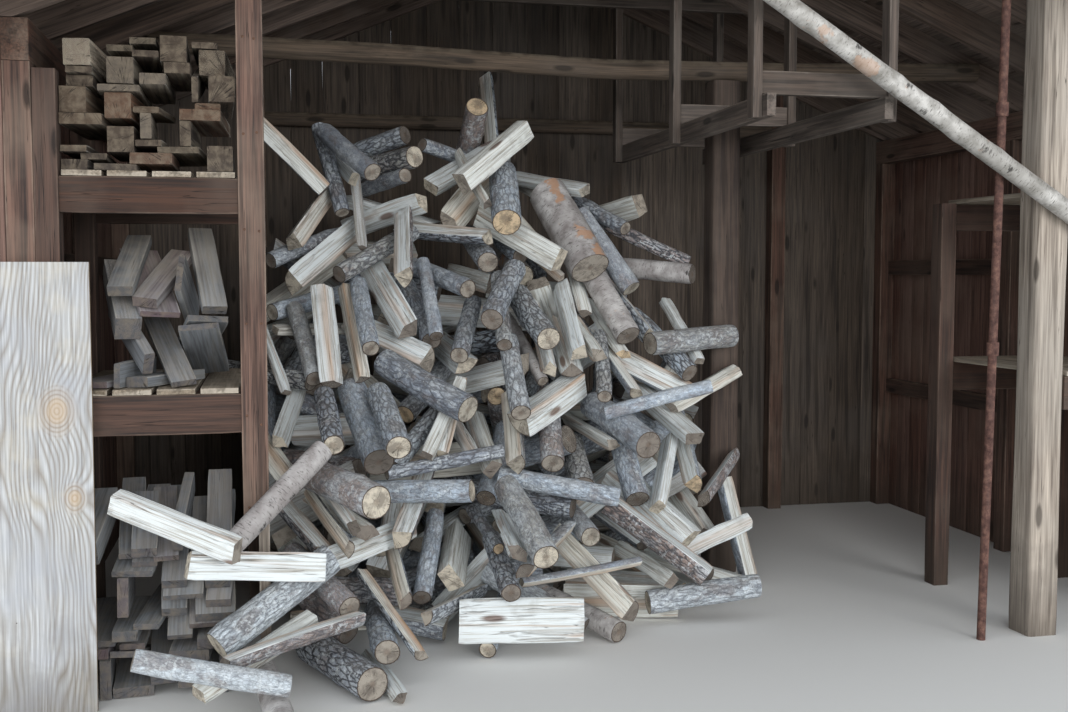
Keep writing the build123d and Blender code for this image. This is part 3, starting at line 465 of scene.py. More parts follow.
def sawn_material(name, dark, pale, worn, spread=0.5, bump=0.0016, turn=None):
    """Old sawn timber: dark and pale grain colours, and the colour of its worn and dusty places."""
    material, tree, shader, wood, tone = wood_material(name, turn)
    dark, worn = linear(*dark), linear(*worn)
    grain = group_node(tree, grain_tree, Wood=wood, Tone=tone)
    weather = group_node(tree, weather_tree, Foot_height=0.45)
    base = ramp(plus(times(grain["Streaks"], 0.6), times(grain["Bands"], 0.4)), (0.37, dark),
                (0.6, pale))
    stick = level(tone, 0, 1, 1 - spread / 2, 1 + spread / 2)
    toned = node(tree, "HueSaturation", Color=base, Value=stick,
                 Saturation=level(tone, 0, 1, 1.1, 0.85)).outputs[0]
    knotted = layered(toned,
        (worn, level(weather["Blotches"], 0.45, 0.7), 0.55),
        (toned_by(dark, 0.35), grain["Knots"], 0.75))
    if turn is None:
        # Pale arrises: partly wear, partly a painted highlight along the edges
        knotted = layered(knotted, (toned_by(worn, 1.5), arris_wear_and_highlight(wood), 0.65))
    stains = noise(stretched(wood, 1.2, 26, 9), detail=3)
    soaked = layered(knotted,
        (toned_by(dark, 0.6), level(stains, 0.56, 0.66, 0, 0.6)),
        ((0.008, 0.006, 0.005, 1), grain["Checks"], 0.85),
        ((167, 153, 133), weather["Dust"], 0.5),
        ((58, 49, 40), weather["Damp"], 0.6))
    set_surface(shader, soaked, level(grain["Streaks"], 0.3, 0.7, 0.78, 0.92), grain["Height"],
                bump)
    return material


red_timber = sawn_material("Red-brown stained timber", (44, 31, 27), (111, 81, 67), (135, 118, 104))
# The rails, rack posts and side girts take the frame's red-brown stain painted darker: the extra
# darkness is painted shade for the inside of the shed
shaded_rail_timber = sawn_material("Red-brown rails with painted shade", (37, 27, 23), (84, 60, 49), (97, 82, 72))
loft_timber = sawn_material("Brown loft timber", (53, 46, 41), (102, 89, 80), (115, 107, 100))
dark_post = sawn_material("Dark rough post", (51, 42, 38), (93, 78, 69), (102, 91, 82))
grey_timber = sawn_material("Weathered grey timber", (107, 95, 84), (186, 173, 158),
                            (167, 160, 151))
draw = np.random.default_rng(4)


def arris_distance(ring, outline):
    """Distance of each point of a ring from the nearest corner of its sharp outline."""
    away = ring[:, None, :2] - outline[None, :, :2]
    return np.maximum(np.linalg.norm(away, axis=2).min(axis=1) - 0.001, 0)


def dress_sticks(name, material, label, radius=0.003, stations=9, waver=0.0006):
    """Rebuild every straight solid of a CAD node as a stick with rounded arrises."""
    surface = Surface()
    for stick in sticks_of(label):
        ring = rounded(stick.outline, radius)
        points, wood = carried(stick, ring, stations, waver)
        surface.add_tube(points, wood, draw.random(), arris_distance(ring, stick.outline))
    surface.build(name, [material], label)


for label, material in (
        ("corner_posts", red_timber), ("side_posts", red_timber), ("back_posts", red_timber),
        ("bay_post_left", red_timber), ("bay_stud_left", grey_timber), ("wall_plates", red_timber),
        ("side_girts", shaded_rail_timber), ("rack_posts", shaded_rail_timber), ("rack_rails", shaded_rail_timber),
        ("loft_joists", loft_timber), ("loft_hangers", loft_timber), ("loft_bearers", loft_timber),
        ("loft_rails", loft_timber), ("ridge_board", red_timber), ("fascia_boards", red_timber)):
    dress_sticks(label + "_timber", material, label)

dress_sticks("bay_post_right_timber", grey_timber, "bay_post_right", 0.016, 40, waver=0.005)
dress_sticks("inner_post_timber", dark_post, "inner_post", 0.018, 36, waver=0.005)
rack_slat_timber = sawn_material("Grey slats", (98, 87, 73), (167, 153, 135), (155, 147, 135))
dress_sticks("rack_slats_timber", rack_slat_timber, "rack_slats", 0.002)

# Nails
# Round wire nails, driven flush through the facing board and the eave boards: low domed heads,
# rusted brown.
nail_rust, tree, shader = new_material("Rusted nail heads")
crust = noise(object_place(tree), 260, 3)
set_surface(shader, ramp(crust, (0.35, (64, 47, 38)), (0.65, (115, 82, 62))), 0.8, crust, 0.0004)


def heads(name, places, facing, radius=0.005, height=0.0014, sides=8):
    """Low domed heads on a face, as one mesh.

    Each dome has a rim on the face, a ring at 0.7 of the radius and 0.8 of the height, and a crown.
    """
    facing = np.array(facing, float)
    across = np.cross(facing, [0.3, 0.2, 1.0])
    across /= np.linalg.norm(across)
    over = np.cross(facing, across)
    angle = np.arange(sides) / sides * math.tau
    circle = np.cos(angle)[:, None] * across + np.sin(angle)[:, None] * over
    dome = np.concatenate([circle * radius, circle * radius * 0.7 + facing * height * 0.8,
                           [facing * height]])
    points = (np.array(places, float)[:, None] + dome).reshape(-1, 3)
    k = np.arange(sides)
    ahead = (k + 1) % sides
    rim = np.stack([k, ahead, ahead + sides, k + sides], axis=1)
    crown = np.stack([k + sides, ahead + sides, np.full(sides, 2 * sides)], axis=1)
    mesh = bpy.data.meshes.new(name)
    mesh.from_pydata(points.tolist(), [], [
        (face + len(dome) * i).tolist() for i in range(len(places)) for part in (rim, crown)
        for face in part])
    mesh.polygons.foreach_set("use_smooth", np.full(len(mesh.polygons), True))
    mesh.materials.append(nail_rust)
    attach(placed(name, mesh), "root")


lowest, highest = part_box("bay_post_left")
middle = (lowest[0] + highest[0]) / 2
aside, nail_step = 0.024, 0.32
heads("facing_board_nails",
      [(middle + side * aside + draw.normal(0, 0.003), lowest[1], z + draw.normal(0, 0.008))
       for z in np.arange(lowest[2] + 0.05, highest[2] - 0.1, nail_step) for side in (-1, 1)],
      (0, -1, 0))
lowest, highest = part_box("fascia_boards")
rafter_step = 0.44
for name, side, x in (("left", -1, lowest[0]), ("right", 1, highest[0])):
    heads("eave_board_nails_" + name,
          [(x, y + draw.normal(0, 0.004), lowest[2] + z)
           for y in np.arange(lowest[1] + 0.06, highest[1], rafter_step) for z in (0.04, 0.12)],
          (side, 0, 0))

# Rafters
# Seven pairs of 38 by 140 rafters, notched over the plates, and a lighter pair at each end. They
# keep their sawn shape, and take the stained timber with its grain down the slope.


def take_finish(label, material):
    """Give a CAD node that keeps its shape its material."""
    for each in cad[label].material_slots:
        each.material = material


roof_slope = 5 / 12
roof_angle = math.atan(roof_slope)
for label, turn in (("rafters_left", roof_angle), ("rafters_right", -roof_angle)):
    take_finish(label, sawn_material("Rafter timber " + label[8:], (72, 60, 53), (131, 112, 100),
                                     (125, 114, 106), turn=(0, turn, 0)))

# Boarded walls and eaves
# Boards 22 mm thick with eased edges, nailed upright to the girts edge to edge, and stained like
# the frame. The back wall's boards are wide and dark, and their tops follow the roof.


def add_board(surface, middle, along, across, sides, thin, run_at, ease, stations):
    """Add a board between two sides, which starts and stops where run_at says for each side."""
    outline = np.array([[a, o, *run_at(a)] for a, o in (
        (sides[0], -thin), (sides[1], -thin), (sides[1], thin), (sides[0], thin))])
    points, wood = carried(Stick(middle, along, across, outline), rounded(outline, ease), stations)
    surface.add_tube(points, wood, draw.random())


def upright_boards(label, material, axis, edges, top_at, lap=0.002):
    """Boards side by side along axis 0 or 1 in place of a wall, between edges at these places.

    Each is cut off at the top along its own slope: top_at gives the height at a place.
    """
    surface = Surface()
    lowest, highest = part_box(label)
    face, thickness = lowest[1 - axis], highest[1 - axis] - lowest[1 - axis]
    lengthways, through, up = np.eye(3)[[axis, 1 - axis, 2]]
    for left, right in zip(edges[:-1], edges[1:]):
        half, centre = (right - left + lap) / 2, (left + right) / 2
        add_board(surface, lengthways * centre + through * (face + thickness / 2) + up, up,
                  lengthways, (-half, half), thickness / 2 - draw.uniform(0, 0.0012),
                  lambda a: (lowest[2] - 1, top_at(centre + a) - 1), 0.004, 7)
    surface.build(label + "_boards", [material], label)


wall_wood = sawn_material("Red-brown wall boards", (69, 47, 41), (124, 91, 78), (135, 115, 103))
dark_wood = sawn_material("Dark back boards", (58, 50, 45), (110, 97, 85), (92, 86, 81), spread=0.5)
for label in ("left_wall", "right_wall"):
    lowest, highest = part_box(label)
    edges = np.linspace(lowest[1], highest[1], 19)
    edges[1:-1] += draw.uniform(-0.02, 0.02, 17)
    upright_boards(label, wall_wood, 1, edges, lambda y: highest[2])
lowest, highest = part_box("back_wall")
edges = np.concatenate([np.linspace(lowest[0], 0, 13), np.linspace(0, highest[0], 13)[1:]])
edges[1:12] += draw.uniform(-0.015, 0.015, 11)
edges[13:-1] += draw.uniform(-0.015, 0.015, 11)
upright_boards("back_wall", dark_wood, 0, edges,
               lambda x: highest[2] - roof_slope * max(abs(x), 0.021))
dress_sticks("barge_boards_wood", wall_wood, "barge_boards")
side_rows, side_step = (0.73, 0.79, 1.47, 1.53, 2.18, 2.26), 0.156
back_rows, back_step = (0.06, 0.12, 2.16, 2.3), 0.196
for label, side in (("left_wall", -1), ("right_wall", 1)):
    lowest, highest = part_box(label)
    face = highest[0] if side > 0 else lowest[0]
    heads(label + "_nails",
          [(face, y + draw.normal(0, 0.01), z + draw.normal(0, 0.006))
           for y in np.arange(lowest[1] + 0.08, highest[1], side_step) for z in side_rows],
          (side, 0, 0))
lowest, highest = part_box("back_wall")
heads("back_wall_nails",
      [(x + draw.normal(0, 0.01), highest[1], z + draw.normal(0, 0.006))
       for x in np.arange(lowest[0] + 0.1, highest[0], back_step) for z in back_rows],
      (0, 1, 0))

# Roof boards
# Boards 22 mm thick laid level over the rafters from the eaves to the ridge, butted close. Their
# undersides show between the rafters, dark with age.
deck_wood = sawn_material("Roof boards", (72, 61, 54), (133, 116, 105), (116, 108, 100), spread=0.6)
for label, side in (("deck_left", -1), ("deck_right", 1)):
    surface = Surface()
    lowest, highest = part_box(label)
    down = np.array([side * math.cos(roof_angle), 0, -math.sin(roof_angle)])
    level_run = np.array([0, 1.0, 0])
    lift = np.cross(down, level_run) * side
    thickness = 0.022
    edges = np.linspace(0, (highest[0] - lowest[0]) / math.cos(roof_angle), 18)
    for start, stop in zip(edges[:-1], edges[1:]):
        half = (stop - start) / 2 - 0.001
        shift = 0.011 if start == 0 else 0
        add_board(surface, down * (start + stop) / 2 - lift * thickness / 2 + (0, 0, highest[2]),
                  level_run, down, (-half + shift, half), thickness / 2 - draw.uniform(0, 0.001),
                  lambda a: (lowest[1], highest[1]), 0.002, 9)
    surface.build(label + "_boards", [deck_wood], label)

# Poles
# A crooked peeled pole ties the roof across, another runs along the back wall as a girt, and a
# birch pole with its bark on is nailed across the front as a brace. Branch stubs are cut flush.


def swelling(share, around, span, length, width):
    """Rise at a chance place and turn: exp(-((share - place) / length)^2 - (turned / width)^2)."""
    turned = np.angle(np.exp(1j * (around - draw.uniform(0, math.tau))))
    return np.exp(-((share - draw.uniform(*span)) / length) ** 2 - (turned / width) ** 2)


def pole(name, label, material, points, radii, knots, lumps=0.03):
    """A round pole through points, its radius changing between them, in place of a CAD node.

    The line through the points is evened out by a moving mean. The radius is multiplied by one
    plus a ripple and a swelling for each knot.
    """
    around, step = 20, 0.03
    points = np.array(points, float)
    parts = np.linalg.norm(np.diff(points, axis=0), axis=1)
    places = np.concatenate([[0], np.cumsum(parts)])
    run = np.linspace(0, places[-1], int(places[-1] / step) + 2)
    line = np.column_stack([np.interp(run, places, points[:, k]) for k in range(3)])
    ends = line[[0, -1]].copy()
    width = min(9, len(line) // 4 * 2 + 1)
    padded = np.concatenate([2 * line[:1] - line[width // 2:0:-1], line,
                             2 * line[-1:] - line[-2:-2 - width // 2:-1]])
    line = np.column_stack([np.convolve(padded[:, k], np.ones(width) / width, "valid")
                            for k in range(3)])
    line[[0, -1]] = ends
    radius = np.interp(run, places, radii)[:, None]
    along = (points[-1] - points[0]) / np.linalg.norm(points[-1] - points[0])
    across = np.cross(along, [0, 1.0, 0.3])
    across /= np.linalg.norm(across)
    over = np.cross(along, across)
    angle = np.arange(around) / around * math.tau
    share = run[:, None]
    shape = ripple(share, angle, (2, 14), (1, 5), 6) * lumps
    for _ in range(knots):
        shape += 0.12 * swelling(share, angle, (0, places[-1]), 0.03, 0.35)
    reach = radius * (0.97 + shape - lumps)
    across_by, over_by = reach * np.cos(angle), reach * np.sin(angle)
    grid = line[:, None] + across_by[..., None] * across + over_by[..., None] * over
    wood = np.stack([np.broadcast_to(share, reach.shape), across_by, over_by], axis=-1)
    surface = Surface()
    surface.add_tube(grid, wood, draw.random(), end_finish=1)
    surface.build(name, [material, pole_end], label)


peeled_wood = sawn_material("Peeled pole", (61, 52, 43), (118, 101, 85), (104, 94, 85), bump=0.002)
pole_end = sawn_material("Pole end grain", (113, 94, 73), (177, 151, 118), (141, 127, 110))
tie_y = 0.0182
pole("tie_pole_wood", "tie_pole", peeled_wood,
     [(-2.0, tie_y, 2.47), (-1.0, tie_y, 2.455), (0.1, tie_y, 2.424), (1.0, tie_y, 2.44),
      (2.0, tie_y, 2.475)], [0.05] * 5, knots=14)
lowest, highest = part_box("back_girt")
middle = [(a + b) / 2 for a, b in zip(lowest, highest)]
pole("back_girt_wood", "back_girt", peeled_wood,
     [(lowest[0], *middle[1:]), (highest[0], *middle[1:])], [(highest[2] - lowest[2]) / 2] * 2,
     knots=10)

# Birch bark: white to grey skin with dark level lenticels, black scars at the knots, and a tan
# layer where the skin has peeled
skin_tree, given = shader_group("Birch skin", Wood=None, Tone=0.5)
place = combined_place(given["Wood"], given["Tone"])
short_lines = noise(stretched(place, 210, 46), detail=3, distortion=0.5)
ragged = noise(stretched(place, 75, 30), detail=5, roughness=0.7)
scars = level(plus(cells(stretched(place, 8, 12, 2)), times(ragged, 0.9)), 0.5, 0.6, 1, 0)
peeled = level(noise(place, 7, 5, 0.6), 0.6, 0.64)
shade = noise(place, 18, 4)
give_out(skin_tree, Lenticels=level(short_lines, 0.57, 0.68), Scars=scars, Peeled=peeled,
         Shade=shade, Height=minus(times(shade, 0.4), math_node("MAXIMUM", peeled, scars)))


def birch_material(name, pale, shaded, peel_share=0.8):
    """Birch bark in its pale and shaded colours, with its lenticels, scars and peeled patches."""
    material, tree, shader, wood, tone = wood_material(name)
    skin = group_node(tree, skin_tree, Wood=wood, Tone=tone)
    weather = group_node(tree, weather_tree, Foot_height=0.3)
    base = ramp(skin["Shade"], (0.3, shaded), (0.6, pale))
    scarred = layered(base,
        (shaded, level(weather["Blotches"], 0.45, 0.6), 0.5),
        ((69, 62, 58), skin["Lenticels"], 0.7),
        ((184, 142, 111), skin["Peeled"], peel_share),
        ((44, 40, 38), skin["Scars"], 0.85))
    set_surface(shader, scarred, level(skin["Scars"], 0, 1, 0.62, 0.9), skin["Height"], 0.0015)
    return material


brace_bark = birch_material("Birch brace bark", (206, 203, 198), (131, 127, 120), peel_share=0.5)
brace_y = -1.3498
pole("birch_brace_pole", "birch_brace", brace_bark,
     [(1.64, brace_y, 1.652), (-0.62, brace_y, 3.056)], [0.04, 0.04], knots=16, lumps=0.02)

# Pipe prop
# Lengths of old water pipe screwed together with couplings, rusted brown all over with flaking
# scale and a few bared grey threads.
rust, tree, shader = new_material("Rusted pipe")
everywhere = object_place(tree)
scale = noise(everywhere, 45, 6, 0.65)
pits = noise(everywhere, 220, 3, 0.6)
runs = noise(mapped(everywhere, (60, 60, 5)), 1, 3)
colour = ramp(scale, (0.3, (60, 42, 39)), (0.5, (95, 68, 61)), (0.7, (131, 98, 84)))
streaked = layered(colour, ((87, 69, 64), level(runs, 0.5, 0.7), 0.5))
set_surface(shader, streaked, level(scale, 0.3, 0.7, 0.95, 0.7), plus(scale, times(pits, 0.5)),
            0.0012)
shader.inputs["Specular IOR Level"].default_value = 0.3
take_finish("pipe_prop", rust)

# Plywood sheet
# An old sheet of softwood plywood stood against the corner. Its face veneer has upright grain,
# football-shaped patches and knots, washed out to pale tan and grey, and its plies show at the
# edges.


def waves(value, length):
    """Sine of a value, once round in each length, from 0 to 1."""
    turned = times(math_node("DIVIDE", value, length), math.tau)
    return math_node("MULTIPLY_ADD", math_node("SINE", turned), 0.5, 0.5)


ply, tree, shader, wood, tone = wood_material("Weathered plywood")
parts = node(tree, "SeparateXYZ", Vector=wood).outputs
knot_pull, knot_core, knot_rings, by_knot = 0.0, 0.0, 0.0, 0.0
for along, across, size in ((0.26, 0.19, 0.055), (-0.03, 0.24, 0.034), (-0.42, -0.12, 0.045),
                            (0.5, -0.16, 0.036)):
    away = node(tree, "CombineXYZ", X=times(minus(parts["X"], along), 0.75),
                Y=minus(parts["Y"], across)).outputs[0]
    reach = node(tree, "VectorMath", {"operation": "LENGTH"}, i0=away).outputs["Value"]
    close_by = math_node("DIVIDE", reach, size * 1.7)
    bell = math_node("EXPONENT", times(math_node("POWER", close_by, 2.0), -1.0))
    knot_pull = plus(knot_pull, times(bell, size * 2.2))
    core = level(plus(reach, times(noise(wood, 40, 2), 0.008)), size * 0.5, size * 0.8, 1, 0)
    knot_core = math_node("MAXIMUM", knot_core, core)
    close = level(reach, size * 0.9, size * 1.3, 1, 0)
    by_knot = math_node("MAXIMUM", by_knot, close)
    knot_rings = plus(knot_rings, times(close, waves(reach, 0.011)))
wander = noise(stretched(wood, 1.1, 3.2, 3.3), detail=2, roughness=0.45)
spacing = noise(stretched(wood, 0.5, 8, 1.2), detail=1)
contour = plus(plus(parts["Y"], knot_pull), plus(times(wander, 0.5), times(spacing, 0.1)))
rings = math_node("POWER", plus(knot_rings, times(
    waves(contour, 0.024), minus(1.0, by_knot))), 0.5)
fading = noise(stretched(wood, 1.5, 5, 7.7), detail=2)
rings = math_node("MAXIMUM", rings, level(fading, 0.46, 0.66, 0, 0.8))
fine = noise(stretched(wood, 4, 170), detail=5, roughness=0.6)
base = ramp(fine, (0.3, (144, 143, 142)), (0.48, (184, 185, 186)), (0.66, (206, 208, 209)))
patchy = noise(wood, 3.2, 5, 0.6)
pinholes = level(cells(wood, 9.0), 0.018, 0.03, 1, 0)
plies = mixed(level(waves(parts["Z"], 0.0036), 0.4, 0.6), (133, 115, 93), (182, 162, 133))
on_edge = level(math_node("ABSOLUTE", parts["Z"]), 0.0084, 0.0087, 1, 0)
soiled = layered(base,
    ((132, 121, 108), math_node("MULTIPLY_ADD", rings, -0.7, 0.7)),
    ((167, 171, 180), level(patchy, 0.5, 0.66, 0, 0.5)),
    ((211, 202, 183), level(patchy, 0.46, 0.34, 0, 0.4)),
    ((167, 142, 113), by_knot, 0.3),
    ((205, 176, 138), knot_core, 0.4),
    ((58, 49, 42), pinholes, 0.85),
    (plies, on_edge),
    ((93, 84, 71), group_node(tree, weather_tree, Foot_height=0.35)["Damp"], 0.55))
set_surface(shader, soiled, 0.88, plus(rings, times(fine, 0.8)), 0.0008)
dress_sticks("plywood_face", ply, "plywood_sheet", 0.0015, 5, waver=0.0)

# Offcuts on the racks
# Ends of old framing, battens and boards, kept for burning: most are dark brown to grey, some
# are fresh, some carry old paint. Each was sawn off square and lies loose on the one below.
ring_tree, given = shader_group("End grain", Wood=None, Tone=0.5, Pith_shift=0.0, Spacing=0.003)
turn = times(given["Tone"], 41.0)
centre_a = plus(part_of(given["Wood"], "Y"), times(math_node("COSINE", turn), given["Pith shift"]))
centre_o = plus(part_of(given["Wood"], "Z"), times(math_node("SINE", turn), given["Pith shift"]))
flat_place = node(ring_tree, "CombineXYZ", X=centre_a, Y=centre_o, Z=turn).outputs[0]
radius = math_node("SQRT", plus(times(centre_a, centre_a), times(centre_o, centre_o)))
wavy = plus(radius, times(noise(flat_place, 14, 2), 0.006))
bearing = math_node("ARCTAN2", centre_o, centre_a)
spokes = noise(node(ring_tree, "CombineXYZ", X=times(bearing, 3.2), Y=times(radius, 2.0),
                    Z=turn).outputs[0], 1.6, 2)
checks = times(level(math_node("ABSOLUTE", minus(spokes, 0.5)), 0.004, 0.016, 1, 0),
               level(noise(flat_place, 30, 2), 0.45, 0.55))
give_out(ring_tree, Rings=waves(wavy, given["Spacing"]), Checks=checks, Radius=radius,
         Saw_marks=noise(mapped(flat_place, (420, 18, 1), turn=(0, 0, 0.5)), 1, 2))


def picked(tone, *stops):
    """One of several colours for each tone, by chance."""
    return ramp(chance(tone), *stops, interpolation="CONSTANT")


offcut_wood, tree, shader, wood, tone = wood_material("Offcut sides")
grain = group_node(tree, grain_tree, Wood=wood, Tone=tone)
weather = group_node(tree, weather_tree, Foot_height=0.3)
offcut_colours = ((0.0, (80, 67, 56)), (0.24, (118, 82, 60)), (0.36, (95, 87, 73)),
                  (0.54, (73, 62, 53)), (0.7, (124, 115, 104)), (0.78, (102, 84, 67)),
                  (0.92, (204, 193, 173)), (0.96, (131, 73, 69)))
base = picked(tone, *offcut_colours)
strength = level(chance(plus(tone, 5.0)), 0, 1, 0.6, 1.5)
varied = node(tree, "HueSaturation", Color=base, Value=strength).outputs[0]
above = part_of(object_place(tree), "Z")
coated_colour = layered(varied,
    ((38, 31, 27), level(grain["Streaks"], 0.38, 0.58, 0.75, 0)),
    ((173, 162, 144), level(grain["Bands"], 0.48, 0.62), 0.5),
    ((53, 38, 29), grain["Knots"], 0.7),
    ((149, 156, 163), times(level(above, 1.3, 1.9, 0.75, 0),
                            level(grain["Streaks"], 0.4, 0.6, 0.55, 1))),
    # Pale arrises: partly wear, partly a painted highlight along the edges
    ((186, 182, 173), arris_wear_and_highlight(wood, 0.004), 0.7),
    ((164, 153, 138), weather["Dust"], 0.35))
set_surface(shader, coated_colour, 0.9, grain["Height"], 0.0016)

offcut_end, tree, shader, wood, tone = wood_material("Offcut ends")
grain = group_node(tree, ring_tree, Wood=wood, Tone=tone, Pith_shift=0.07, Spacing=0.0042)
base = picked(tone, *offcut_colours)
above = part_of(object_place(tree), "Z")
cracked = layered(base,
    (mixed(level(above, 1.3, 1.9), (102, 108, 117), (80, 71, 61)),
     level(above, 1.3, 1.9, 0.65, 0.45)),
    ((58, 47, 38), grain["Rings"], 0.35),
    ((140, 127, 109), level(noise(wood, 38, 4), 0.4, 0.65, 0, 0.45)),
    ((29, 22, 18), grain["Checks"], 0.8))
set_surface(shader, cracked, 0.93, minus(plus(grain["Saw marks"], grain["Rings"]), grain["Checks"]),
            0.0012)

for label in ("offcuts_bottom", "offcuts_middle", "offcuts_top"):
    surface = Surface()
    for stick in sticks_of(label):
        ring = rounded(stick.outline, draw.uniform(0.001, 0.004))
        points, wood = carried(stick, ring, 8, 0.001)
        surface.add_tube(points, wood, draw.random(), arris_distance(ring, stick.outline),
                         end_finish=1)
    surface.build(label + "_wood", [offcut_wood, offcut_end], label)

# Firewood
# Softwood and birch sawn to about half a metre and split by hand: small stems are left round in
# their bark, thicker ones are halved, quartered or split to slabs. Every piece lies loose where
# it was tipped. Rounds have lumps and stubs, split faces have torn fibres.


def log_grid(stick, ring, bark, stations, relief, bow, twist, swell):
    """Carry a log's outline along it, bowed, twisted and torn or lumpy, with ends cut askew.

    The bow moves the middle sideways by 4s(1-s) of its depth. The outline turns by the twist from
    end to end, and is multiplied by one plus the ripple and a bell-shaped swelling at each knot.
    What would sag under the ground is lifted to it.
    """
    share = np.linspace(0, 1, stations)[:, None]
    a, o, low, high = ring.T
    centre = ring[:, :2].mean(axis=0)
    a, o = a - centre[0], o - centre[1]
    size = np.hypot(a, o).mean()
    around = np.arctan2(o, a)
    lumpy = relief * (ripple(share, around, (2, 16), (1, 6), 6, math.tau) - 0.4)
    torn = relief * (1.5 * ripple(share, around * 3, (1, 14), (2, 9), 8, math.tau) - 1.2)
    shape = np.where(bark, lumpy, torn) / size
    for _ in range(swell):
        shape = shape + 0.13 * bark * swelling(share, around, (0.08, 0.92), 0.07, 0.4)
    shape[[0, -1]] -= 0.002 / size
    turn = twist * (share - 0.5)
    reach = 1 + shape
    across = centre[0] + reach * (a * np.cos(turn) - o * np.sin(turn))
    over = centre[1] + reach * (a * np.sin(turn) + o * np.cos(turn))
    skew = draw.normal(0, 0.035, (2, 2))
    low = low + skew[0, 0] * a + skew[0, 1] * o
    high = high - skew[1, 0] * a - skew[1, 1] * o
    inset = 0.002
    run = (low + inset) * (1 - share) + (high - inset) * share
    lean = draw.uniform(0, math.tau)
    aside = bow * 4 * share * (1 - share)
    points = stick.grid(run, across + aside * math.cos(lean), over + aside * math.sin(lean))
    points[..., 2] = np.maximum(points[..., 2], 0.0004)
    return points, np.stack([run, across, over], axis=-1)


def add_cap(surface, points, wood, depth, tone, at_start, finish):
    """Close one end of a log: its last outline drawn in to the middle in four steps."""
    if at_start:
        points, wood, depth = points[::-1], wood[::-1], depth[::-1]
    steps = np.array([1, 0.94, 0.7, 0.35, 0.06])[:, None, None]
    size = np.linalg.norm(points - points.mean(axis=0), axis=1).mean()
    rings = points.mean(axis=0) + (points - points.mean(axis=0)) * steps
    inner = wood.mean(axis=0) + (wood - wood.mean(axis=0)) * steps
    deep = depth + (1 - steps[..., 0]) * size
    surface.add_tube(rings, inner, tone, deep, finish, finish, ends=(-1,))


def round_ring(stick, around=18):
    """Circle inside a round log's outline."""
    reach = np.hypot(stick.outline[:, 0], stick.outline[:, 1]).mean() * 0.968
    angle = np.arange(around) / around * math.tau
    ends = np.broadcast_to(stick.outline[:, 2:].mean(axis=0), (around, 2))
    ring = np.column_stack([reach * np.cos(angle), reach * np.sin(angle), ends])
    return ring, np.full(around, True), np.zeros(2)


def split_ring(stick, side_points=5):
    """Outline of a split log with eased corners: its bark side is an arc about the heart.

    The bark lies on the equal shortest sides, and a slab has none. Most pieces whose bark side
    would face forward or up are inner splits without bark, with flat sides. Each side is cut into
    points, the first and last a little in from the corners.
    """
    outline = stick.outline
    sides = np.roll(outline, -1, axis=0) - outline
    lengths = np.hypot(sides[:, 0], sides[:, 1])
    bark = lengths < lengths.min() * 1.01
    if bark.sum() < 2:
        bark[:] = False
        heart = outline[:, :2].mean(axis=0) + outline[0, :2] * draw.uniform(1.3, 2.2)
    else:
        bare = ~bark & ~np.roll(bark, 1)
        heart = outline[bare, :2][0]
        outwards = -(heart[0] * stick.across + heart[1] * stick.over)
        outwards /= np.linalg.norm(outwards)
        facing = outwards @ (0, -0.8, 0.6)
        if facing > 0.1 and draw.random() < 0.6 + facing:
            bark[:] = False
    ease = (0.003 / lengths)[:, None]
    steps = np.linspace(0, 1, side_points)[None] * (1 - 2 * ease) + ease
    ring = (outline[:, None] + sides[:, None] * steps[..., None]).reshape(-1, 4)
    on_bark = np.repeat(bark, side_points)
    away = ring[:, :2] - heart
    reach = np.hypot(away[:, 0], away[:, 1])
    if bark.any():
        arc = reach.max() * 0.975
        ring[on_bark, :2] = heart + away[on_bark] / reach[on_bark, None] * arc
    return ring, on_bark, heart


def heap_piece(name, materials, label, is_round):
    """Dress every log of a CAD node and gather them in one piece."""
    surface = Surface()
    for stick in sticks_of(label):
        ring, on_bark, heart = round_ring(stick) if is_round else split_ring(stick)
        tone = draw.random()
        stations = 20 if is_round else 18
        points, wood = log_grid(stick, ring, on_bark, stations, 0.0026,
                                draw.uniform(0, 0.008) if is_round else draw.uniform(0, 0.004),
                                0 if is_round else draw.normal(0, 0.05),
                                draw.integers(0, 4) if is_round else 1)
        wood[..., 1:] -= heart
        covered = on_bark & np.roll(on_bark, -1)
        surface.add_tube(points, wood, tone, 0.0, np.where(covered, 0, 1), 2, ends=())
        depth = np.where(on_bark, 0.0, 0.02)
        add_cap(surface, points[0], wood[0], depth, tone, True, 2)
        add_cap(surface, points[-1], wood[-1], depth, tone, False, 2)
    surface.build(name, materials, label)


# Bark of the dark stems: plates with furrows along the stem and finer cracks across them, grey to
# brown in broad patches, with pale crusts of lichen, and painted shade in the hollows of the coarse
# relief
bark, tree, shader, wood, tone = wood_material("Log bark")
place_moved = combined_place(wood, tone, (53.0, 17.0, 1.0))
drift = node(tree, "TexNoise", Vector=place_moved, Scale=30.0, Detail=3.0).outputs["Color"]
warped = node(tree, "VectorMath", {"operation": "MULTIPLY_ADD"}, i0=drift, i1=(0.02, 0.02, 0.02),
              i2=place_moved).outputs[0]
plates = cells(stretched(warped, 15, 52), feature="DISTANCE_TO_EDGE")
furrows = level(plates, 0.03, 0.2, 1, 0)
scales = cells(stretched(warped, 60, 130, 5), feature="DISTANCE_TO_EDGE")
fine_cracks = level(scales, 0.02, 0.14, 1, 0)
coarse = noise(stretched(warped, 30, 44), 1, 6, 0.7)
broad = noise(stretched(place_moved, 7, 12), 1, 4, 0.6)
stem = picked(tone, (0.0, (173, 153, 144)), (0.14, (180, 190, 202)), (0.4, (202, 216, 231)),
              (0.64, (160, 169, 182)), (0.78, (191, 190, 184)), (0.88, (222, 231, 238)))
rough = level(chance(plus(tone, 7.0)), 0, 1, 0.15, 1)
lichen_noise = noise(stretched(place_moved, 60, 52), 1, 6, 0.7)
lichen = times(level(lichen_noise, 0.53, 0.58), level(noise(place_moved, 8, 3), 0.42, 0.56))
weather = group_node(tree, weather_tree, Foot_height=0.2)
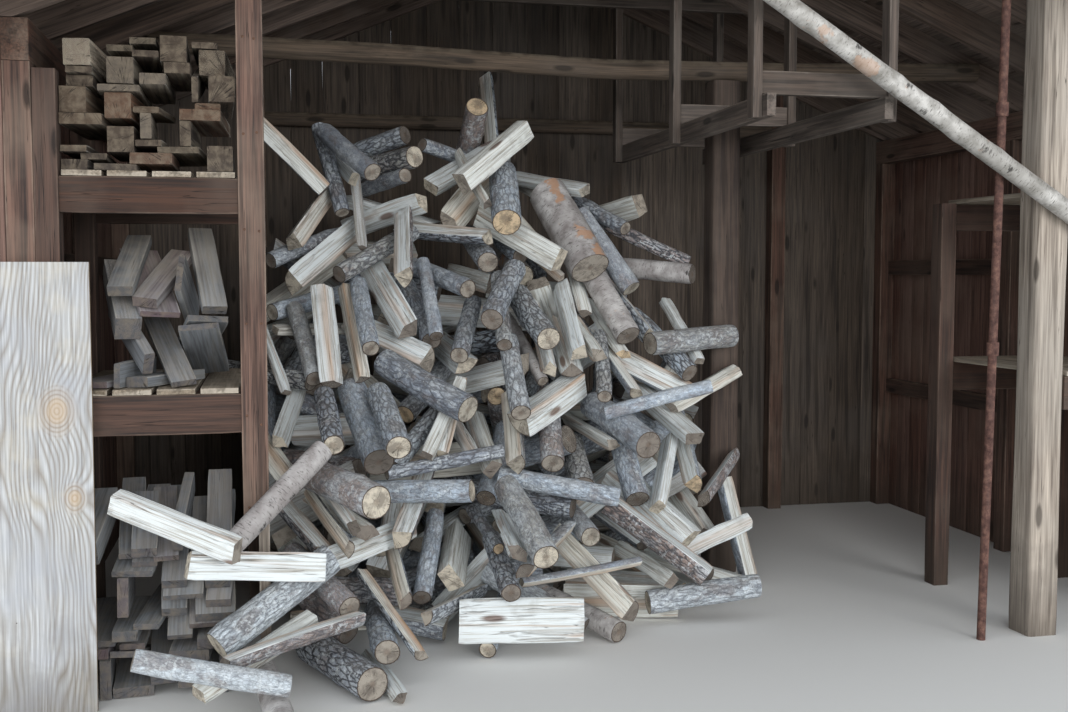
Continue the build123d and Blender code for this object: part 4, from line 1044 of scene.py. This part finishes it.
coated_colour = layered(stem,
    ((222, 229, 235), level(broad, 0.5, 0.6, 0, 0.65)),
    ((142, 129, 123), level(broad, 0.46, 0.38, 0, 0.6)),
    # Painted shade: a cool grey laid where the coarse relief is low, in its hollows
    ((121, 127, 137), level(coarse, 0.4, 0.54, 0.5, 0)),
    ((84, 83, 87), fine_cracks, 0.3),
    ((69, 70, 75), times(furrows, rough)),
    ((229, 235, 238), lichen, 0.6),
    ((167, 162, 155), weather["Dust"], 0.3))
bark_height = minus(plus(coarse, times(broad, 0.5)),
                    plus(times(furrows, rough), times(fine_cracks, 0.3)))
set_surface(shader, coated_colour, level(coarse, 0.3, 0.7, 0.95, 0.78), bark_height, 0.006)

# Split faces: cream sapwood in long torn fibres, browner towards the heart, with dark streaks,
# small knots and the odd grey weathered face
split, tree, shader, wood, tone = wood_material("Split faces")
grain = group_node(tree, grain_tree, Wood=wood, Tone=tone)
heart_depth = group_node(tree, ring_tree, Wood=wood, Tone=tone)["Radius"]
pale = picked(tone, (0.0, (231, 237, 238)), (0.4, (232, 235, 231)), (0.7, (231, 229, 219)),
              (0.88, (222, 219, 210)), (0.96, (196, 197, 196)))
fibre = ramp(grain["Streaks"], (0.36, (190, 178, 162)), (0.48, (1, 1, 1, 1)))
fibrous = mixed(0.6, pale, fibre, "MULTIPLY")
slivers = level(noise(stretched(wood, 4, 60, 2), 1, 3, 0.5, 0.6), 0.61, 0.65)
combed = noise(stretched(wood, 2.4, 150, 4), detail=2, roughness=0.5)
grimy = layered(fibrous,
    ((198, 158, 122), times(level(heart_depth, 0.006, 0.034, 1, 0),
                            level(grain["Bands"], 0.35, 0.6, 0.2, 0.7))),
    ((182, 144, 113), level(grain["Bands"], 0.59, 0.66), 0.45),
    ((102, 64, 42), grain["Knots"], 0.8),
    ((93, 71, 56), grain["Checks"], 0.6),
    ((149, 131, 111), slivers, 0.3),
    ((140, 126, 108), level(combed, 0.4, 0.46, 0.42, 0)),
    ((155, 151, 142), level(noise(wood, 9, 5, 0.6), 0.54, 0.7, 0, 0.4)))
set_surface(shader, grimy, 0.84, plus(grain["Height"], slivers), 0.005)

# Sawn ends: rings, cracks that run out from the heart, saw marks, and a rim of bark
sawn_end, tree, shader, wood, tone = wood_material("Sawn log ends")
grain = group_node(tree, ring_tree, Wood=wood, Tone=tone, Spacing=0.0034)
base = picked(plus(tone, 3.0), (0.0, (220, 211, 193)), (0.2, (171, 164, 153)),
              (0.44, (140, 133, 125)), (0.68, (115, 110, 104)), (0.84, (226, 202, 167)),
              (0.91, (195, 189, 175)))
under_bark = stored(tree, "depth")
rim = level(plus(under_bark, times(noise(wood, 120, 2), 0.003)), 0.0045, 0.006, 1, 0)
rimmed = layered(base,
    ((115, 93, 73), grain["Rings"], 0.3),
    ((102, 75, 56), level(grain["Radius"], 0.006, 0.018, 0.45, 0)),
    ((98, 89, 81), level(noise(wood, 26, 5, 0.65), 0.44, 0.6, 0, 0.65)),
    ((42, 31, 22), grain["Checks"], 0.85),
    ((69, 56, 47), rim))
set_surface(shader, rimmed, 0.9, minus(plus(grain["Saw marks"], times(grain["Rings"], 0.5)),
                                       grain["Checks"]), 0.0014)

draw = np.random.default_rng(11)
log_birch = birch_material("Birch log bark", (198, 195, 193), (131, 124, 122))
for zone in ("low", "middle", "top"):
    heap_piece(f"round_logs_{zone}_bark", [bark, split, sawn_end], f"round_logs_{zone}", True)
    heap_piece(f"split_logs_{zone}_wood", [bark, split, sawn_end], f"split_logs_{zone}", False)
heap_piece("birch_logs_bark", [log_birch, split, sawn_end], "birch_logs", True)

# Roof covering
# Ribbed steel sheets, 0.5 mm thick in the real one, screwed down the ribs, with a folded cap over
# the ridge. The coating is dull and the laps and screws have rusted in runs down the slope.
steel, tree, shader = new_material("Dull ribbed steel")
everywhere = object_place(tree)
mottled = noise(everywhere, 7, 5, 0.6)
down_runs = noise(mapped(everywhere, (1.2, 34, 1.2)), 1, 4, 0.6)
base = ramp(mottled, (0.3, (140, 140, 138)), (0.7, (178, 178, 173)))
rusty = times(level(noise(mapped(everywhere, (2.2, 22, 2.2)), 1, 5, 0.7), 0.5, 0.62),
              level(noise(everywhere, 1.6, 3), 0.38, 0.58))
rust_colour = ramp(noise(everywhere, 60, 4), (0.3, (107, 60, 40)), (0.7, (167, 102, 64)))
whole = layered(base,
    ((107, 100, 91), level(down_runs, 0.48, 0.66, 0, 0.6)),
    (rust_colour, rusty))
set_surface(shader, whole, level(rusty, 0, 1, 0.45, 0.9), plus(mottled, times(rusty, 0.5)), 0.001)
fill(shader.inputs["Metallic"], level(rusty, 0, 1, 0.35, 0.0))
for label in ("roof_sheets_left", "roof_sheets_right", "ridge_cap"):
    take_finish(label, steel)

# Roof screws
# Screws with a sealing washer, driven through the ribs into the boards every 0.6 m down the slope,
# rusted brown.
for label, side in (("roof_sheets_left", -1), ("roof_sheets_right", 1)):
    sheet = np.concatenate([corners for corners, _ in solids_of(label)])
    facing = np.array([side * math.sin(roof_angle), 0, math.cos(roof_angle)])
    slope = np.array([side * math.cos(roof_angle), 0, -math.sin(roof_angle)])
    lift = sheet @ facing
    rib_edges = np.unique(sheet[lift > lift.max() - 0.0005, 1].round(4))
    crest = lift.max() * facing
    screw_runs = (sheet @ slope).min() + np.array([0.35, 0.95, 1.55, 2.15, 2.7])
    heads(label + "_screws",
          [crest + slope * run + (0, y, 0) for run in screw_runs
           for y in rib_edges.reshape(-1, 2).mean(axis=1)],
          facing, 0.0085, 0.005, sides=10)

# Floor, light and camera
floor_mesh = bpy.data.meshes.new("floor")
reach = 40
floor_mesh.from_pydata([(-reach, -reach, 0), (reach, -reach, 0), (reach, reach, 0),
                        (-reach, reach, 0)], [], [(0, 1, 2, 3)])
floor_paint, tree, shader = new_material("Pale floor")
fill(shader.inputs["Base Color"], (236, 235, 232))
shader.inputs["Roughness"].default_value = 0.9
floor_mesh.materials.append(floor_paint)
placed("floor", floor_mesh)

for name, kind, place, target, spread, power in (
        ("key light", "SUN", (6.0, -24.0, 5.2), (0, 0, 1.0), 0.49, 1.33),
        ("fill light", "SUN", (-11.0, -23.5, 5.6), (0, 0, 1.2), 0.52, 0.73),
        ("back light", "AREA", (-4.0, 7.5, 6.5), (0, 0, 1.5), 5.0, 270)):
    lamp = bpy.data.lights.new(name, kind)
    setattr(lamp, "angle" if kind == "SUN" else "size", spread)
    lamp.energy = power
    holder = placed(name, lamp)
    aim = np.array(target) - np.array(place)
    holder.location = place
    holder.rotation_euler = (math.pi / 2 + math.atan2(aim[2], math.hypot(aim[0], aim[1])), 0,
                             math.atan2(aim[1], aim[0]) - math.pi / 2)

world = bpy.data.worlds.new("Plain sky")
bpy.context.scene.world = world
world.use_nodes = True
backdrop = world.node_tree.nodes["Background"]
backdrop.inputs["Color"].default_value = (0.9, 0.95, 1.0, 1)
backdrop.inputs["Strength"].default_value = 0.9

lens = bpy.data.cameras.new("Camera")
lens.sensor_width = 36
lens.lens = 40.45
camera = placed("Camera", lens)
camera.location = (-1.5, -5.5155, 1.46)
camera.rotation_euler = (math.radians(86.1), 0, math.radians(-12.4))
bpy.context.scene.camera = camera
bpy.context.scene.view_settings.view_transform = "Standard"
